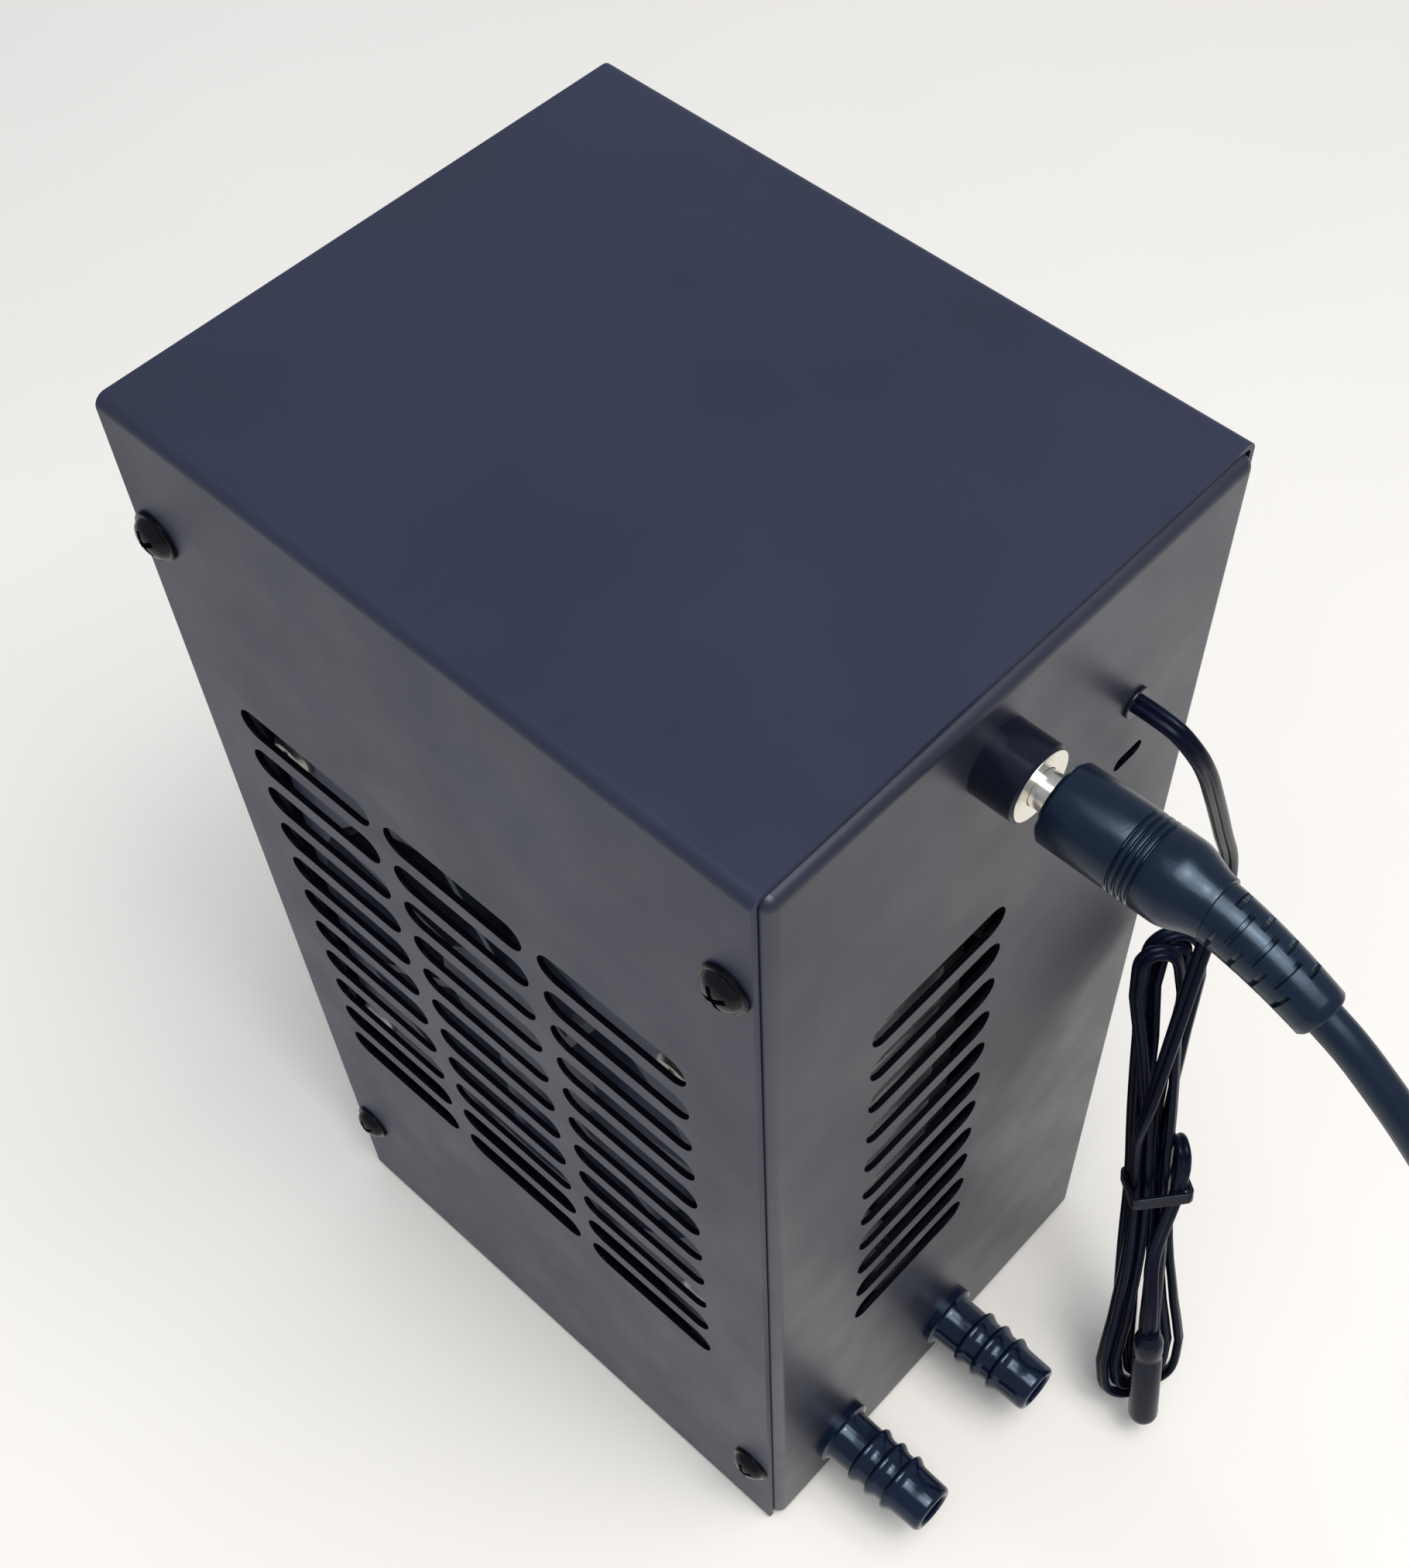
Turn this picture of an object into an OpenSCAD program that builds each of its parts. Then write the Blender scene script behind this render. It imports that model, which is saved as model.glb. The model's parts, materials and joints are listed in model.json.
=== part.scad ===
// Aquarium chiller: a thermoelectric cooler in a folded sheet-metal case.
// The front panel with the hose barbs faces -Y, the louvred side faces -X,
// and the feet stand on Z = 0 with the origin under the middle of the case.

/* [Case] */
// Width over the side walls
case_w = 96; // [92:1:130]
// Depth over the front and rear panels
case_l = 120; // [116:1:160]
// Height from the table to the top
case_h = 230; // [226:1:300]
// Thickness of the sheet metal
sheet = 1; // [0.8:0.1:1.5]
// Outer radius of the folds
fold_r = 2; // [1.6:0.1:4]
// Gap between the edge of the cover and a panel
seam = 0.5; // [0.2:0.1:1]
// Gap between the cover and the flanges inside it
flange_gap = 0.2; // [0.1:0.1:0.5]
// Width of the flanges
flange_w = 13; // [11:1:16]
// Height of the rubber feet
foot_h = 1.5; // [1:0.5:5]
// Diameter of the rubber feet
foot_d = 12; // [8:1:20]

/* [Louvres] */
// Length of one slot
vent_l = 29; // [20:1:31]
// Height of one slot
vent_h = 6.5; // [4:0.5:8]
// Step between the rows of slots
vent_pitch = 10; // [9:0.5:11]
// Rows of slots
vent_rows = 11; // [6:1:12]
// Columns of slots in the side
vent_cols = 3; // [1:1:3]
// Bar between two columns
vent_gap = 3.2; // [2:0.1:4]
// Height of the middle of the louvres and of the fan
vent_z = 121; // [115:1:125]
// Place of the side louvres and of the fan along the case
vent_y = 1.5; // [-2:0.5:3]
// Place of the front louvres across the case
front_vent_x = -12; // [-20:1:10]

/* [Cover screws] */
// Thread diameter
screw_d = 4; // [3:0.5:4]
// Head diameter
screw_head_d = 8; // [6:0.5:8]
// Head height
screw_head_h = 2.6; // [1.5:0.1:3]
// Length under the head
screw_l = 8; // [6:1:12]
// Distance of the screws from the end of the cover
screw_in = 4.5; // [4:0.5:6]
// Height of the lower screws
screw_low_z = 26.5; // [20:0.5:40]
// Distance of the upper screws from the top
screw_drop = 23; // [15:1:40]

/* [Hose barbs] */
// Height of the hose barbs
barb_z = 17.7; // [16:0.1:24]
// Place of the inlet across the case
inlet_x = -29.5; // [-32:0.5:-26]
// Place of the outlet across the case
outlet_x = 2.7; // [0:0.1:5]
// Bore of the barbs
barb_bore = 7; // [5:0.5:7.5]
// Diameter of the barb shank
barb_shank_d = 10.8; // [10:0.1:11.4]
// Diameter over the ribs
barb_rib_d = 12.6; // [12:0.1:13.4]
// Length outside the panel
barb_l = 24.4; // [22:0.2:30]
// Distance of the first rib's crest from the panel
barb_rib_at = 7.5; // [5:0.5:9]
// Step between the ribs
barb_rib_step = 4; // [3:0.5:5]
// Number of ribs
barb_ribs = 3; // [2:1:3]
// Diameter of the threaded neck in the panel
barb_neck_d = 11; // [10:0.5:12]
// Diameter of the spigots under the inner hoses
spigot_d = 9.4; // [8.5:0.1:9.8]

/* [Power jack and plug] */
// Place of the jack across the case
jack_x = -5.2; // [-15:0.1:5]
// Distance of the jack from the top
jack_drop = 14; // [12:1:25]
// Diameter of the collar
jack_collar_d = 11.5; // [11:0.1:14]
// Length of the collar
jack_collar_l = 7; // [5:0.5:9]
// Diameter of the neck
jack_neck_d = 9; // [8.5:0.1:10]
// Diameter of the plug's barrel
barrel_d = 5.5; // [5:0.1:5.6]
// Diameter of the contact pin
pin_d = 2.1; // [1.9:0.1:2.2]
// Gap between the jack and the plug as it stands
plug_gap = 3; // [2:0.5:4]
// Diameter of the plug's grip
plug_d = 11.8; // [10:0.1:14]
// Length of the plug's grip up to its taper
plug_grip_l = 18; // [14:1:24]
// Diameter of the power lead
lead_d = 5; // [4:0.5:5]

/* [Fan] */
// Side of the fan frame
fan_w = 92; // [88:1:92]
// Thickness of the fan frame
fan_t = 25; // [24:1:25]
// Bore of the fan frame
fan_bore = 88; // [80:1:88]
// Half the step between the fan's screw holes
fan_hole_at = 41.25; // [38:0.25:41.5]
// Diameter of the rotor's hub
hub_d = 36; // [32:1:40]
// Diameter of the fan shaft
shaft_d = 3; // [2:0.5:4]
// Number of blades
fan_blades = 7; // [5:1:9]
// Gap between the fan frame and the side wall
fan_gap = 3; // [2.8:0.1:5]

/* [Cooling stack] */
// Height of the heat sink
sink_h = 96; // [90:1:100]
// Length of the heat sink
sink_l = 100; // [95:1:102]
// Height of the fins
fin_h = 24.5; // [18:0.5:24.5]
// Thickness of a fin
fin_t = 1.2; // [0.8:0.1:1.6]
// Number of fins
fins = 24; // [12:1:28]
// Thickness of the heat sink's base
sink_base = 5; // [4:0.5:6]
// Side of the thermoelectric module
module_w = 40; // [30:1:40]
// Thickness of the thermoelectric module
module_t = 3.6; // [3:0.1:4.2]
// Side of the water block
block_w = 40; // [36:1:44]
// Thickness of the water block
block_t = 12; // [11:0.5:12.5]
// Wall of the insulation
wrap = 5; // [3:0.5:5.5]
// Outer diameter of the inner hoses
hose_d = 13; // [12.5:0.1:14]

/* [Thermostat] */
// Width of the bezel
bezel_w = 60; // [58:1:70]
// Height of the bezel
bezel_h = 40; // [38:1:44]
// Thickness of the bezel
bezel_t = 2; // [1.5:0.1:3]
// Width of the body behind the panel
pod_w = 55; // [53:1:56]
// Height of the body behind the panel
pod_h = 35; // [34:1:36]
// Depth of the body behind the panel
pod_l = 26; // [25:1:30]
// Wall of the body
pod_wall = 1.5; // [1:0.1:1.6]
// Distance of the middle of the thermostat from the top
pod_drop = 26; // [24:1:30]
// Diameter of the buttons
button_d = 6; // [5:0.5:7]
// Travel of the buttons
button_travel = 0.8; // [0.4:0.1:0.8]

/* [Sensor cord] */
// Width of the flat cord
probe_w = 2.6; // [2:0.1:2.6]
// Thickness of the flat cord
probe_t = 1.4; // [1:0.1:1.4]
// Place of the cord's hole across the case
probe_x = 27.5; // [20:0.5:32]
// Distance of the cord's hole from the top
probe_drop = 34.3; // [30:0.1:40]
// Diameter of the sensor's capsule
capsule_d = 6; // [4.5:0.1:6.5]
// Length of the sensor's capsule
capsule_l = 26; // [20:1:27]

/* [Hidden] */
$fn = 48;

// Overrun of every cut
over = 1;
// Gap round a fixed piece that sits in a hole
slip = 0.1;
// Radial gap round the running shaft
run_gap = 0.05;

navy = [0.18, 0.19, 0.27];
grey_paint = [0.33, 0.32, 0.34];
black = [0.07, 0.07, 0.09];
nickel = [0.75, 0.74, 0.7];
steel = [0.66, 0.67, 0.7];
brass = [0.75, 0.6, 0.3];
aluminium = [0.78, 0.79, 0.81];
white = [0.93, 0.93, 0.9];
rubber = [0.12, 0.12, 0.13];
foam = [0.2, 0.2, 0.22];
green = [0.1, 0.4, 0.2];
hose_tint = [0.75, 0.8, 0.8];

// Case, worked out
cover_l = case_l - 2 * (sheet + seam);
chassis_w = case_w - 2 * (sheet + flange_gap);
chassis_top = case_h - sheet - flange_gap;
floor_z = foot_h + sheet;
side_in = case_w / 2 - sheet;
screw_y = cover_l / 2 - screw_in;
screw_zs = [screw_low_z, case_h - screw_drop];
foot_in = 12;

// Round a piece that lies in line with the fan, from the louvred side inward
fan_x = -side_in + fan_gap;
fin_x = fan_x + fan_t;
base_x = fin_x + fin_h;
cold_x = base_x + sink_base;
block_x = cold_x + module_t;
wrap_x = block_x + block_t;
bar_x = wrap_x + wrap;
bar_t = 2;
head_x = bar_x + bar_t;

// Tie slot under the hole of the sensor cord
tie_slot_w = 6.5;
tie_slot_h = 2.8;
tie_slot_side = 1.4;
tie_slot_drop = 13.9;

// Jack
jack_z = case_h - jack_drop;
jack_depth = 16;
sleeve_d = 6.8;
sleeve_gap = 0.05;
sleeve_l = 11;
face_d = 10.6;
face_t = 0.5;
collar_bevel = 0.5;
pin_inset = 1;
tail_l = 3;
tab_w = 2.4;
tab_t = 0.5;
tab_y = sleeve_d / 2 - slip;
cross_l_share = 0.6;
cross_w_share = 0.14;
nut_w = 12;
nut_t = 2.5;
barrel_l = 9.5;
barrel_root = 5;
barrel_wall = 1.5;

// Plug
groove_at = 11;
groove_step = 1;
grooves = 4;
groove_w = 0.4;
groove_t = 0.35;
plug_neck_d = 8.6;
plug_taper_l = 5.5;
plug_edge = 0.8;
relief_l = 21.6;
relief_drop = 6;
relief_power = 1.8;
relief_start_share = 0.15;
relief_rib_share = 0.3;
relief_pitch_share = 0.09;
relief_step_shares = [0, 0.12, 0.45, 0.57];
plug_y = -case_l / 2 - jack_collar_l - plug_gap;
relief_ribs = 7;
relief_top_d = 8.4;
relief_end_d = 7.2;
relief_dip_share = 0.8;
relief_sides = 10;

// Lead: free route (Y, Z) in the plane of the jack, then the coil beside it
lead_route = [
    [-119, 204.5], [-124.2, 200.5], [-131, 194.2], [-138, 186.5], [-144.4, 177.5],
    [-149.8, 167], [-154, 155], [-157, 142], [-159, 129], [-160.4, 116],
    [-161.8, 103], [-163.4, 90], [-165.4, 77], [-168.2, 64], [-172, 51.5],
    [-177.2, 40], [-183.8, 30], [-191.2, 21.5], [-198, 14.4], [-203.2, 9.8], [-207.2, 8]
];
lead_sides = 8;
coil_in = 21;
coil_step = 5.5;
turns_in = 2.5;
turns_out = 3;
coil_y = -215;
coil_rings = 24;
coil_sides = 6;
coil_end_l = 26;
coil_low = lead_d / 2;
coil_x = jack_x + coil_in + coil_step * turns_in;
coil_start = [jack_x, coil_y + lead_d, coil_low + coil_step];
socket_d = 11;
socket_l = 30;
socket_neck_d = 8;
socket_wall = 1.4;
socket_neck_l = 8;
socket_bore_l = 10;

// Barb
barb_shoulder_d = 13.2;
barb_shoulder_l = 1.5;
barb_tip_d = 10;
barb_dip_share = 0.75;
barb_flare = 0.3;
barb_neck_l = 9;
spigot_l = 14;
seal_d = 16;
seal_t = 1.5;
barb_nut_w = 16;
barb_nut_t = 5;
hose_reach = 45;
hose_rise = 50;
hose_steps = 12;
hose_sides = 10;
hose_lap = 0.5;
clip_w = 5;
clip_t = 0.9;
ear_w = 3;

// Fan
fan_corner = 5;
fan_hole_d = 4.4;
motor_d = 34;
motor_t = 3;
strut_w = 5;
bearing_d = 8;
bearing_l = 12;
stator_d = 24;
stator_t = 9;
cup_x = 2;
cup_t = 1.5;
cup_l = 17;
tip_gap = 1;
blade_t = 1.4;
blade_pitch = 38;
fan_screw_d = 4.2;
fan_head_d = 8;
fan_head_h = fan_gap - flange_gap - sheet - slip;
fan_bite = 8;
boss_l = 3;
motor_z = fan_t - motor_t;

// Cooling stack
gasket_w = 60;
wire_gap = 8;
core_in = 1;
ceramic_t = 0.8;
block_wall = 2.25;
divider_t = 3;
divider_l = 26;
port_at = 9;
port_l = 20;
port_x = block_x + block_t / 2;
port_z = vent_z - block_w / 2 - port_l;
hose_top = vent_z - gasket_w / 2 - hose_lap;
spigot_y = barb_neck_l + spigot_l - case_l / 2;
hose_y = barb_neck_l + hose_lap - case_l / 2;
bar_l = 80;
bar_w = 9;
bar_at = 12;
clamp_at = 35;
small_d = 3;
small_head_d = 5.5;
small_head_h = 2.2;
bite = 4;
stand_t = 1.5;
stand_w = 92;
stand_over = 13;
stand_band = 12;
stand_leg = 14;
stand_foot = 14;
stand_screw_at = 38;
stand_tail = 0.8;
stand_sill = 6;
stand_foot_x = cold_x + stand_t + stand_foot / 2;
sink_z = vent_z - sink_h / 2;
stand_screw_z = sink_z + stand_over - stand_band / 2;
clamp_l = head_x - cold_x + bite;

// Thermostat
pod_z = case_h - pod_drop;
bezel_r = 2;
window_w = 24;
window_h = 12;
window_x = -9;
window_y = 2;
digits_w = 23;
digits_h = 11;
button_x = 19;
button_y = 7;
button_proud = 1.2;
button_flange = 1;
button_stem_d = 3;
board_w = 50;
board_h = 31;
board_t = 1.6;
board_at = 7.4;
switch_w = 6;
switch_t = 3.5;
plunger_d = 3.5;
plunger_l = 1;
relay_w = 15;
relay_h = 19;
relay_t = 15;
relay_x = 13;
term_w = 25;
term_h = 8;
term_t = 10;
term_ways = 7;
term_step = 3.5;
term_x = -8;
term_y = -8;
term_margin = 1.5;
vent_cap_t = 1.5;

// Wires
wire_d = 1.8;
wire_sides = 6;
wire_steps = 8;
wire_step = 2.4;
fan_wire_y = 18;
fan_wire_reach = 18;
power_reach = 30;
module_reach = 34;
probe_reach = 40;

// Sensor cord
probe_z = case_h - probe_drop;
bush_d = 5.2;
bush_hole_d = 4;
bush_t = 0.6;
probe_sides = 6;
cord_sides = 8;
// Free route of the sensor cord from its hole down to the hank
probe_route = [
    [27.5, -63.5, 195.7], [27.8, -67.2, 194.9], [28.6, -70.2, 192], [31, -71.6, 186.1],
    [34.2, -72, 178.2], [38.1, -72, 169], [42.4, -72, 158.6], [46.9, -72, 148],
    [49.3, -72, 138.5], [49.1, -72.3, 129.5], [46.1, -72.9, 120.7], [42.5, -74.1, 112],
    [39, -75.3, 102.8], [35.7, -76.4, 94.1], [32.9, -77.3, 86.5], [31.7, -77.4, 80.3],
    [31.8, -77.5, 74.9]
];
// The hank leans against the front edge of the case
hank_lean = 20;
hank_way = 50;
hank_x = 19.2;
hank_y = -98.6;
hank_mid = 65;
hank_run = 107;
hank_turns = 3.5;
hank_back = 1.5;
hank_in = 1.6;
hank_shift = 2.1;
hank_step = 2.6;
waist_in = 0.5;
waist_step = 1.9;
hank_layer = 3.1;
hank_rings = 24;
hank_lead = 4;
fold_up = 8;
fold_out = 0.5;
cord_gap = 0.5;
tip_low = 3.5;
tail_turn_share = 1.4;
hank_foot = [hank_x, hank_y, (hank_layer + probe_w) / 2 * sin(hank_lean)];
hank_a = [sin(hank_lean) * cos(hank_way), sin(hank_lean) * sin(hank_way), cos(hank_lean)];
hank_w = [sin(hank_way), -cos(hank_way), 0];
hank_n = cross(hank_a, hank_w);
hank_start = [-hank_layer / 2, waist_in + waist_step * hank_back, hank_mid + hank_lead];
fold_y = waist_in + waist_step * (hank_turns - hank_back) + fold_out;
front_x = hank_layer / 2 + probe_w / 2 + cord_gap + probe_t / 2;
tip_x = hank_layer / 2 + probe_w / 2 + cord_gap + capsule_d / 2;
fold_r_in = (hank_layer / 2 + front_x) / 2;
tail_end = tip_low + capsule_l;
tie_w = 2.5;
tie_t = 0.9;
tie_r = 0.6;
tie_head_w = 5;
tie_head_l = 5;
tie_head_h = 4;

// Flat outlines

module rounded_rect(w, h, r) {
    square([w - 2 * r, h], center = true);
    square([w, h - 2 * r], center = true);
    for (sx = [-1, 1], sy = [-1, 1])
        translate([sx * (w / 2 - r), sy * (h / 2 - r)]) circle(r);
}

// Upright outline from low to high with its two upper corners rounded
module rounded_top(w, low, high, r) {
    translate([-w / 2, low]) square([w, high - r - low]);
    translate([r - w / 2, low]) square([w - 2 * r, high - low]);
    for (s = [-1, 1]) translate([s * (w / 2 - r), high - r]) circle(r);
}

module slot(l, h) {
    square([l - h, h], center = true);
    for (s = [-1, 1]) translate([s * (l - h) / 2, 0]) circle(h / 2);
}

module vent_field(cols) {
    for (c = [0 : cols - 1], r = [0 : vent_rows - 1])
        translate([(c - (cols - 1) / 2) * (vent_l + vent_gap), (r - (vent_rows - 1) / 2) * vent_pitch])
            slot(vent_l, vent_h);
}

// Places: Z leads out of the panel, X runs to the right as that panel is faced

module on_front(x, z) {
    translate([x, -case_l / 2, z]) rotate([90, 0, 0]) children();
}

module on_rear(x, z) {
    translate([x, case_l / 2, z]) rotate([90, 0, 180]) children();
}

// Z leads from the louvred side into the case
module into_case(x, y, z) {
    translate([x, y, z]) rotate([0, 90, 0]) children();
}

module in_hank() {
    translate(hank_foot) rotate([0, hank_lean, hank_way]) children();
}

module ring(outer_d, inner_d, h) {
    difference() {
        cylinder(d = outer_d, h = h);
        translate([0, 0, -over]) cylinder(d = inner_d, h = h + 2 * over);
    }
}

// Pan-head screw, its head from zero upward and its shank downward
module pan_screw(d, l, head_d, head_h) {
    edge = head_h / 2;
    difference() {
        rotate_extrude() polygon([
            [0, 0], [head_d / 2, 0], [head_d / 2, edge], [head_d / 2 - edge, head_h], [0, head_h]
        ]);
        for (a = [0, 90]) rotate(a) translate([0, 0, head_h])
            cube([head_d * cross_l_share, head_d * cross_w_share, head_h], center = true);
    }
    translate([0, 0, -l]) cylinder(d = d, h = l);
}

// Swept tubes

function unit(v) = v / norm(v);
function last_of(list) = list[len(list) - 1];
function heading(path, i) = unit(path[min(i + 1, len(path) - 1)] - path[max(i - 1, 0)]);
function tube_ring(p, t, side, wide, thin, sides) =
    let (b = unit(cross(t, side)), n = cross(b, t))
    [for (k = [0 : sides - 1]) let (a = 360 * (k + 0.5) / sides) p + wide * cos(a) * n + thin * sin(a) * b];

// Tube through rings of points, closed by flat ends
module skin(rings) {
    sides = len(rings[0]);
    count = len(rings);
    last = (count - 1) * sides;
    walls = [
        for (i = [0 : count - 2], k = [0 : sides - 1])
            let (a = i * sides + k, b = i * sides + (k + 1) % sides)
            each [[a, b + sides, b], [a, a + sides, b + sides]]
    ];
    ends = [
        for (k = [1 : sides - 2])
            each [[0, k, k + 1], [last, last + k + 1, last + k]]
    ];
    polyhedron([for (r = rings) each r], concat(walls, ends));
}

// Tube along a path; wide is its half width along side, thin its half width across
module tube(path, side, wide, thin, sides) {
    skin([for (i = [0 : len(path) - 1]) tube_ring(path[i], heading(path, i), side, wide, thin, sides)]);
}

function smooth(s) = let (c = min(1, max(0, s))) c * c * (3 - 2 * c);
function bezier(a, b, c, d, s) =
    pow(1 - s, 3) * a + 3 * pow(1 - s, 2) * s * b + 3 * (1 - s) * s * s * c + pow(s, 3) * d;

// Case

module cover() {
    color(navy) difference() {
        translate([0, cover_l / 2, 0]) rotate([90, 0, 0]) linear_extrude(cover_l) difference() {
            rounded_top(case_w, foot_h, case_h, fold_r);
            rounded_top(case_w - 2 * sheet, foot_h - over, case_h - sheet, fold_r - sheet);
        }
        translate([-case_w / 2 - over, vent_y, vent_z]) rotate([90, 0, 90])
            linear_extrude(sheet + 2 * over) vent_field(vent_cols);
        for (z = screw_zs, s = [-1, 1])
            into_case(-case_w / 2 - over, s * screw_y, z)
                cylinder(d = screw_d + 2 * slip, h = case_w + 2 * over);
    }
}

// Front panel, base and rear panel seen from the side, with the flanges along their tops
module folded_strip() {
    translate([0, (foot_h + chassis_top) / 2]) difference() {
        rounded_rect(case_l, chassis_top - foot_h, fold_r);
        rounded_rect(case_l - 2 * sheet, chassis_top - foot_h - 2 * sheet, fold_r - sheet);
        translate([flange_w - case_l / 2, 0])
            square([case_l - 2 * flange_w, chassis_top]);
    }
}

// Panel with its side flanges seen from above
module flanged_panel() {
    difference() {
        rounded_top(chassis_w, 0, flange_w, fold_r);
        rounded_top(chassis_w - 2 * sheet, -over, flange_w - sheet, fold_r - sheet);
    }
}

// Eighth of a hollow ball that closes the corner where three folds meet
module folded_corner() {
    rotate_extrude(angle = 90) intersection() {
        difference() {
            circle(fold_r);
            circle(fold_r - sheet);
        }
        square(fold_r);
    }
}

module chassis() {
    color(grey_paint) difference() {
        union() {
            translate([fold_r - chassis_w / 2, 0, 0]) rotate([90, 0, 90])
                linear_extrude(chassis_w - 2 * fold_r) folded_strip();
            translate([-chassis_w / 2, fold_r - case_l / 2, foot_h])
                cube([chassis_w, case_l - 2 * fold_r, sheet]);
            for (s = [0, 1]) mirror([0, s, 0])
                translate([0, flange_w - case_l / 2, foot_h + fold_r]) mirror([0, 1, 0])
                    linear_extrude(chassis_top - foot_h - 2 * fold_r) flanged_panel();
            for (sx = [0, 1], sy = [0, 1]) mirror([sx, 0, 0]) mirror([0, sy, 0])
                translate([chassis_w / 2 - fold_r, case_l / 2 - fold_r, 0]) {
                    translate([0, 0, chassis_top - fold_r]) folded_corner();
                    translate([0, 0, foot_h + fold_r]) mirror([0, 0, 1]) folded_corner();
                }
        }
        for (s = [0, 1]) mirror([0, s, 0])
            on_front(front_vent_x, vent_z) translate([0, 0, -sheet - over])
                linear_extrude(sheet + 2 * over) vent_field(1);
        on_front(jack_x, jack_z) panel_hole(jack_neck_d);
        on_front(probe_x, probe_z) panel_hole(bush_hole_d);
        for (x = [inlet_x, outlet_x]) on_front(x, barb_z) panel_hole(barb_neck_d);
        on_front(probe_x + tie_slot_side, probe_z - tie_slot_drop) translate([0, 0, -sheet - over])
            linear_extrude(sheet + 2 * over) slot(tie_slot_w, tie_slot_h);
        on_rear(0, pod_z) translate([0, 0, -sheet / 2])
            cube([pod_w + 2 * slip, pod_h + 2 * slip, sheet + 2 * over], center = true);
        for (z = screw_zs, s = [-1, 1])
            into_case(-case_w / 2, s * screw_y, z) cylinder(d = screw_d + 2 * slip, h = case_w);
        for (s = [-1, 1]) translate([stand_foot_x, vent_y + s * stand_screw_at, foot_h - over])
            cylinder(d = small_d + 2 * slip, h = sheet + 2 * over);
    }
}

module panel_hole(d) {
    translate([0, 0, -sheet - over]) cylinder(d = d + 2 * slip, h = sheet + 2 * over);
}

module cover_screws() {
    color(steel) for (side = [0, 1]) mirror([side, 0, 0])
        for (z = screw_zs, s = [-1, 1])
            translate([-case_w / 2, s * screw_y, z]) rotate([0, -90, 0])
                pan_screw(screw_d, screw_l, screw_head_d, screw_head_h);
}

module rubber_feet() {
    color(rubber) for (sx = [-1, 1], sy = [-1, 1])
        translate([sx * (case_w / 2 - foot_in), sy * (case_l / 2 - foot_in), 0])
            cylinder(d = foot_d, h = foot_h);
}

// Power jack

module jack_housing() {
    color(black) on_front(jack_x, jack_z) difference() {
        union() {
            cylinder(d = jack_collar_d, h = jack_collar_l - collar_bevel);
            translate([0, 0, jack_collar_l - collar_bevel])
                cylinder(d1 = jack_collar_d, d2 = jack_collar_d - 2 * collar_bevel, h = collar_bevel);
            translate([0, 0, -jack_depth]) cylinder(d = jack_neck_d, h = jack_depth);
        }
        translate([0, 0, jack_collar_l - sleeve_l])
            cylinder(d = sleeve_d + 2 * sleeve_gap, h = sleeve_l + over);
        translate([0, 0, jack_collar_l - face_t]) cylinder(d = face_d + 2 * sleeve_gap, h = face_t + over);
        translate([0, 0, -jack_depth - over]) cylinder(d = pin_d + 2 * sleeve_gap, h = jack_depth);
        translate([-tab_w / 2 - sleeve_gap, -tab_y - sleeve_gap, -jack_depth - over])
            cube([tab_w + 2 * sleeve_gap, tab_t + 2 * sleeve_gap, jack_depth]);
    }
}

module jack_sleeve() {
    color(nickel) on_front(jack_x, jack_z) {
        difference() {
            union() {
                translate([0, 0, jack_collar_l - face_t]) cylinder(d = face_d, h = face_t);
                translate([0, 0, jack_collar_l - sleeve_l]) cylinder(d = sleeve_d, h = sleeve_l);
            }
            translate([0, 0, jack_collar_l - sleeve_l - over])
                cylinder(d = barrel_d + 2 * slip, h = sleeve_l + 2 * over);
        }
        translate([-tab_w / 2, -tab_y, -jack_depth - tail_l])
            cube([tab_w, tab_t, jack_depth + tail_l + jack_collar_l - sleeve_l + tab_t]);
    }
}

module jack_pin() {
    color(nickel) on_front(jack_x, jack_z) translate([0, 0, -jack_depth - tail_l])
        cylinder(d = pin_d, h = jack_depth + tail_l + jack_collar_l - pin_inset);
}

module jack_nut() {
    color(nickel) on_front(jack_x, jack_z) translate([0, 0, -sheet - nut_t])
        hex_nut(nut_w, jack_neck_d + 2 * slip, nut_t);
}

module hex_nut(across, hole_d, h) {
    difference() {
        cylinder(d = across / cos(30), h = h, $fn = 6);
        translate([0, 0, -over]) cylinder(d = hole_d, h = h + 2 * over);
    }
}

// Hose barbs and inner hoses

module barb(x) {
    crests = [for (i = [0 : barb_ribs - 1]) barb_rib_at + i * barb_rib_step];
    teeth = [
        for (z = crests)
            each [[barb_shank_d, z], [barb_rib_d, z], [barb_shank_d, z + barb_dip_share * barb_rib_step]]
    ];
    outline = concat(
        [
            [barb_bore, -barb_neck_l - spigot_l], [spigot_d, -barb_neck_l - spigot_l],
            [spigot_d, -barb_neck_l], [barb_neck_d, -barb_neck_l], [barb_neck_d, 0],
            [barb_shoulder_d, 0], [barb_shoulder_d, barb_shoulder_l], [barb_shank_d, barb_shoulder_l]
        ],
        teeth,
        [
            [barb_tip_d, barb_l - 2 * barb_flare], [barb_tip_d + 2 * barb_flare, barb_l - barb_flare],
            [barb_tip_d + 2 * barb_flare, barb_l], [barb_bore, barb_l]
        ]
    );
    color(black) on_front(x, barb_z)
        rotate_extrude() polygon([for (p = outline) [p[0] / 2, p[1]]]);
}

module inlet_barb() {
    barb(inlet_x);
}

module outlet_barb() {
    barb(outlet_x);
}

module barb_seals() {
    color(rubber) for (x = [inlet_x, outlet_x]) on_front(x, barb_z)
        translate([0, 0, -sheet - seal_t]) ring(seal_d, barb_neck_d + 2 * slip, seal_t);
}

module barb_nuts() {
    color(black) for (x = [inlet_x, outlet_x]) on_front(x, barb_z)
        translate([0, 0, -sheet - seal_t - barb_nut_t])
            hex_nut(barb_nut_w, barb_neck_d + 2 * slip, barb_nut_t);
}

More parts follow.
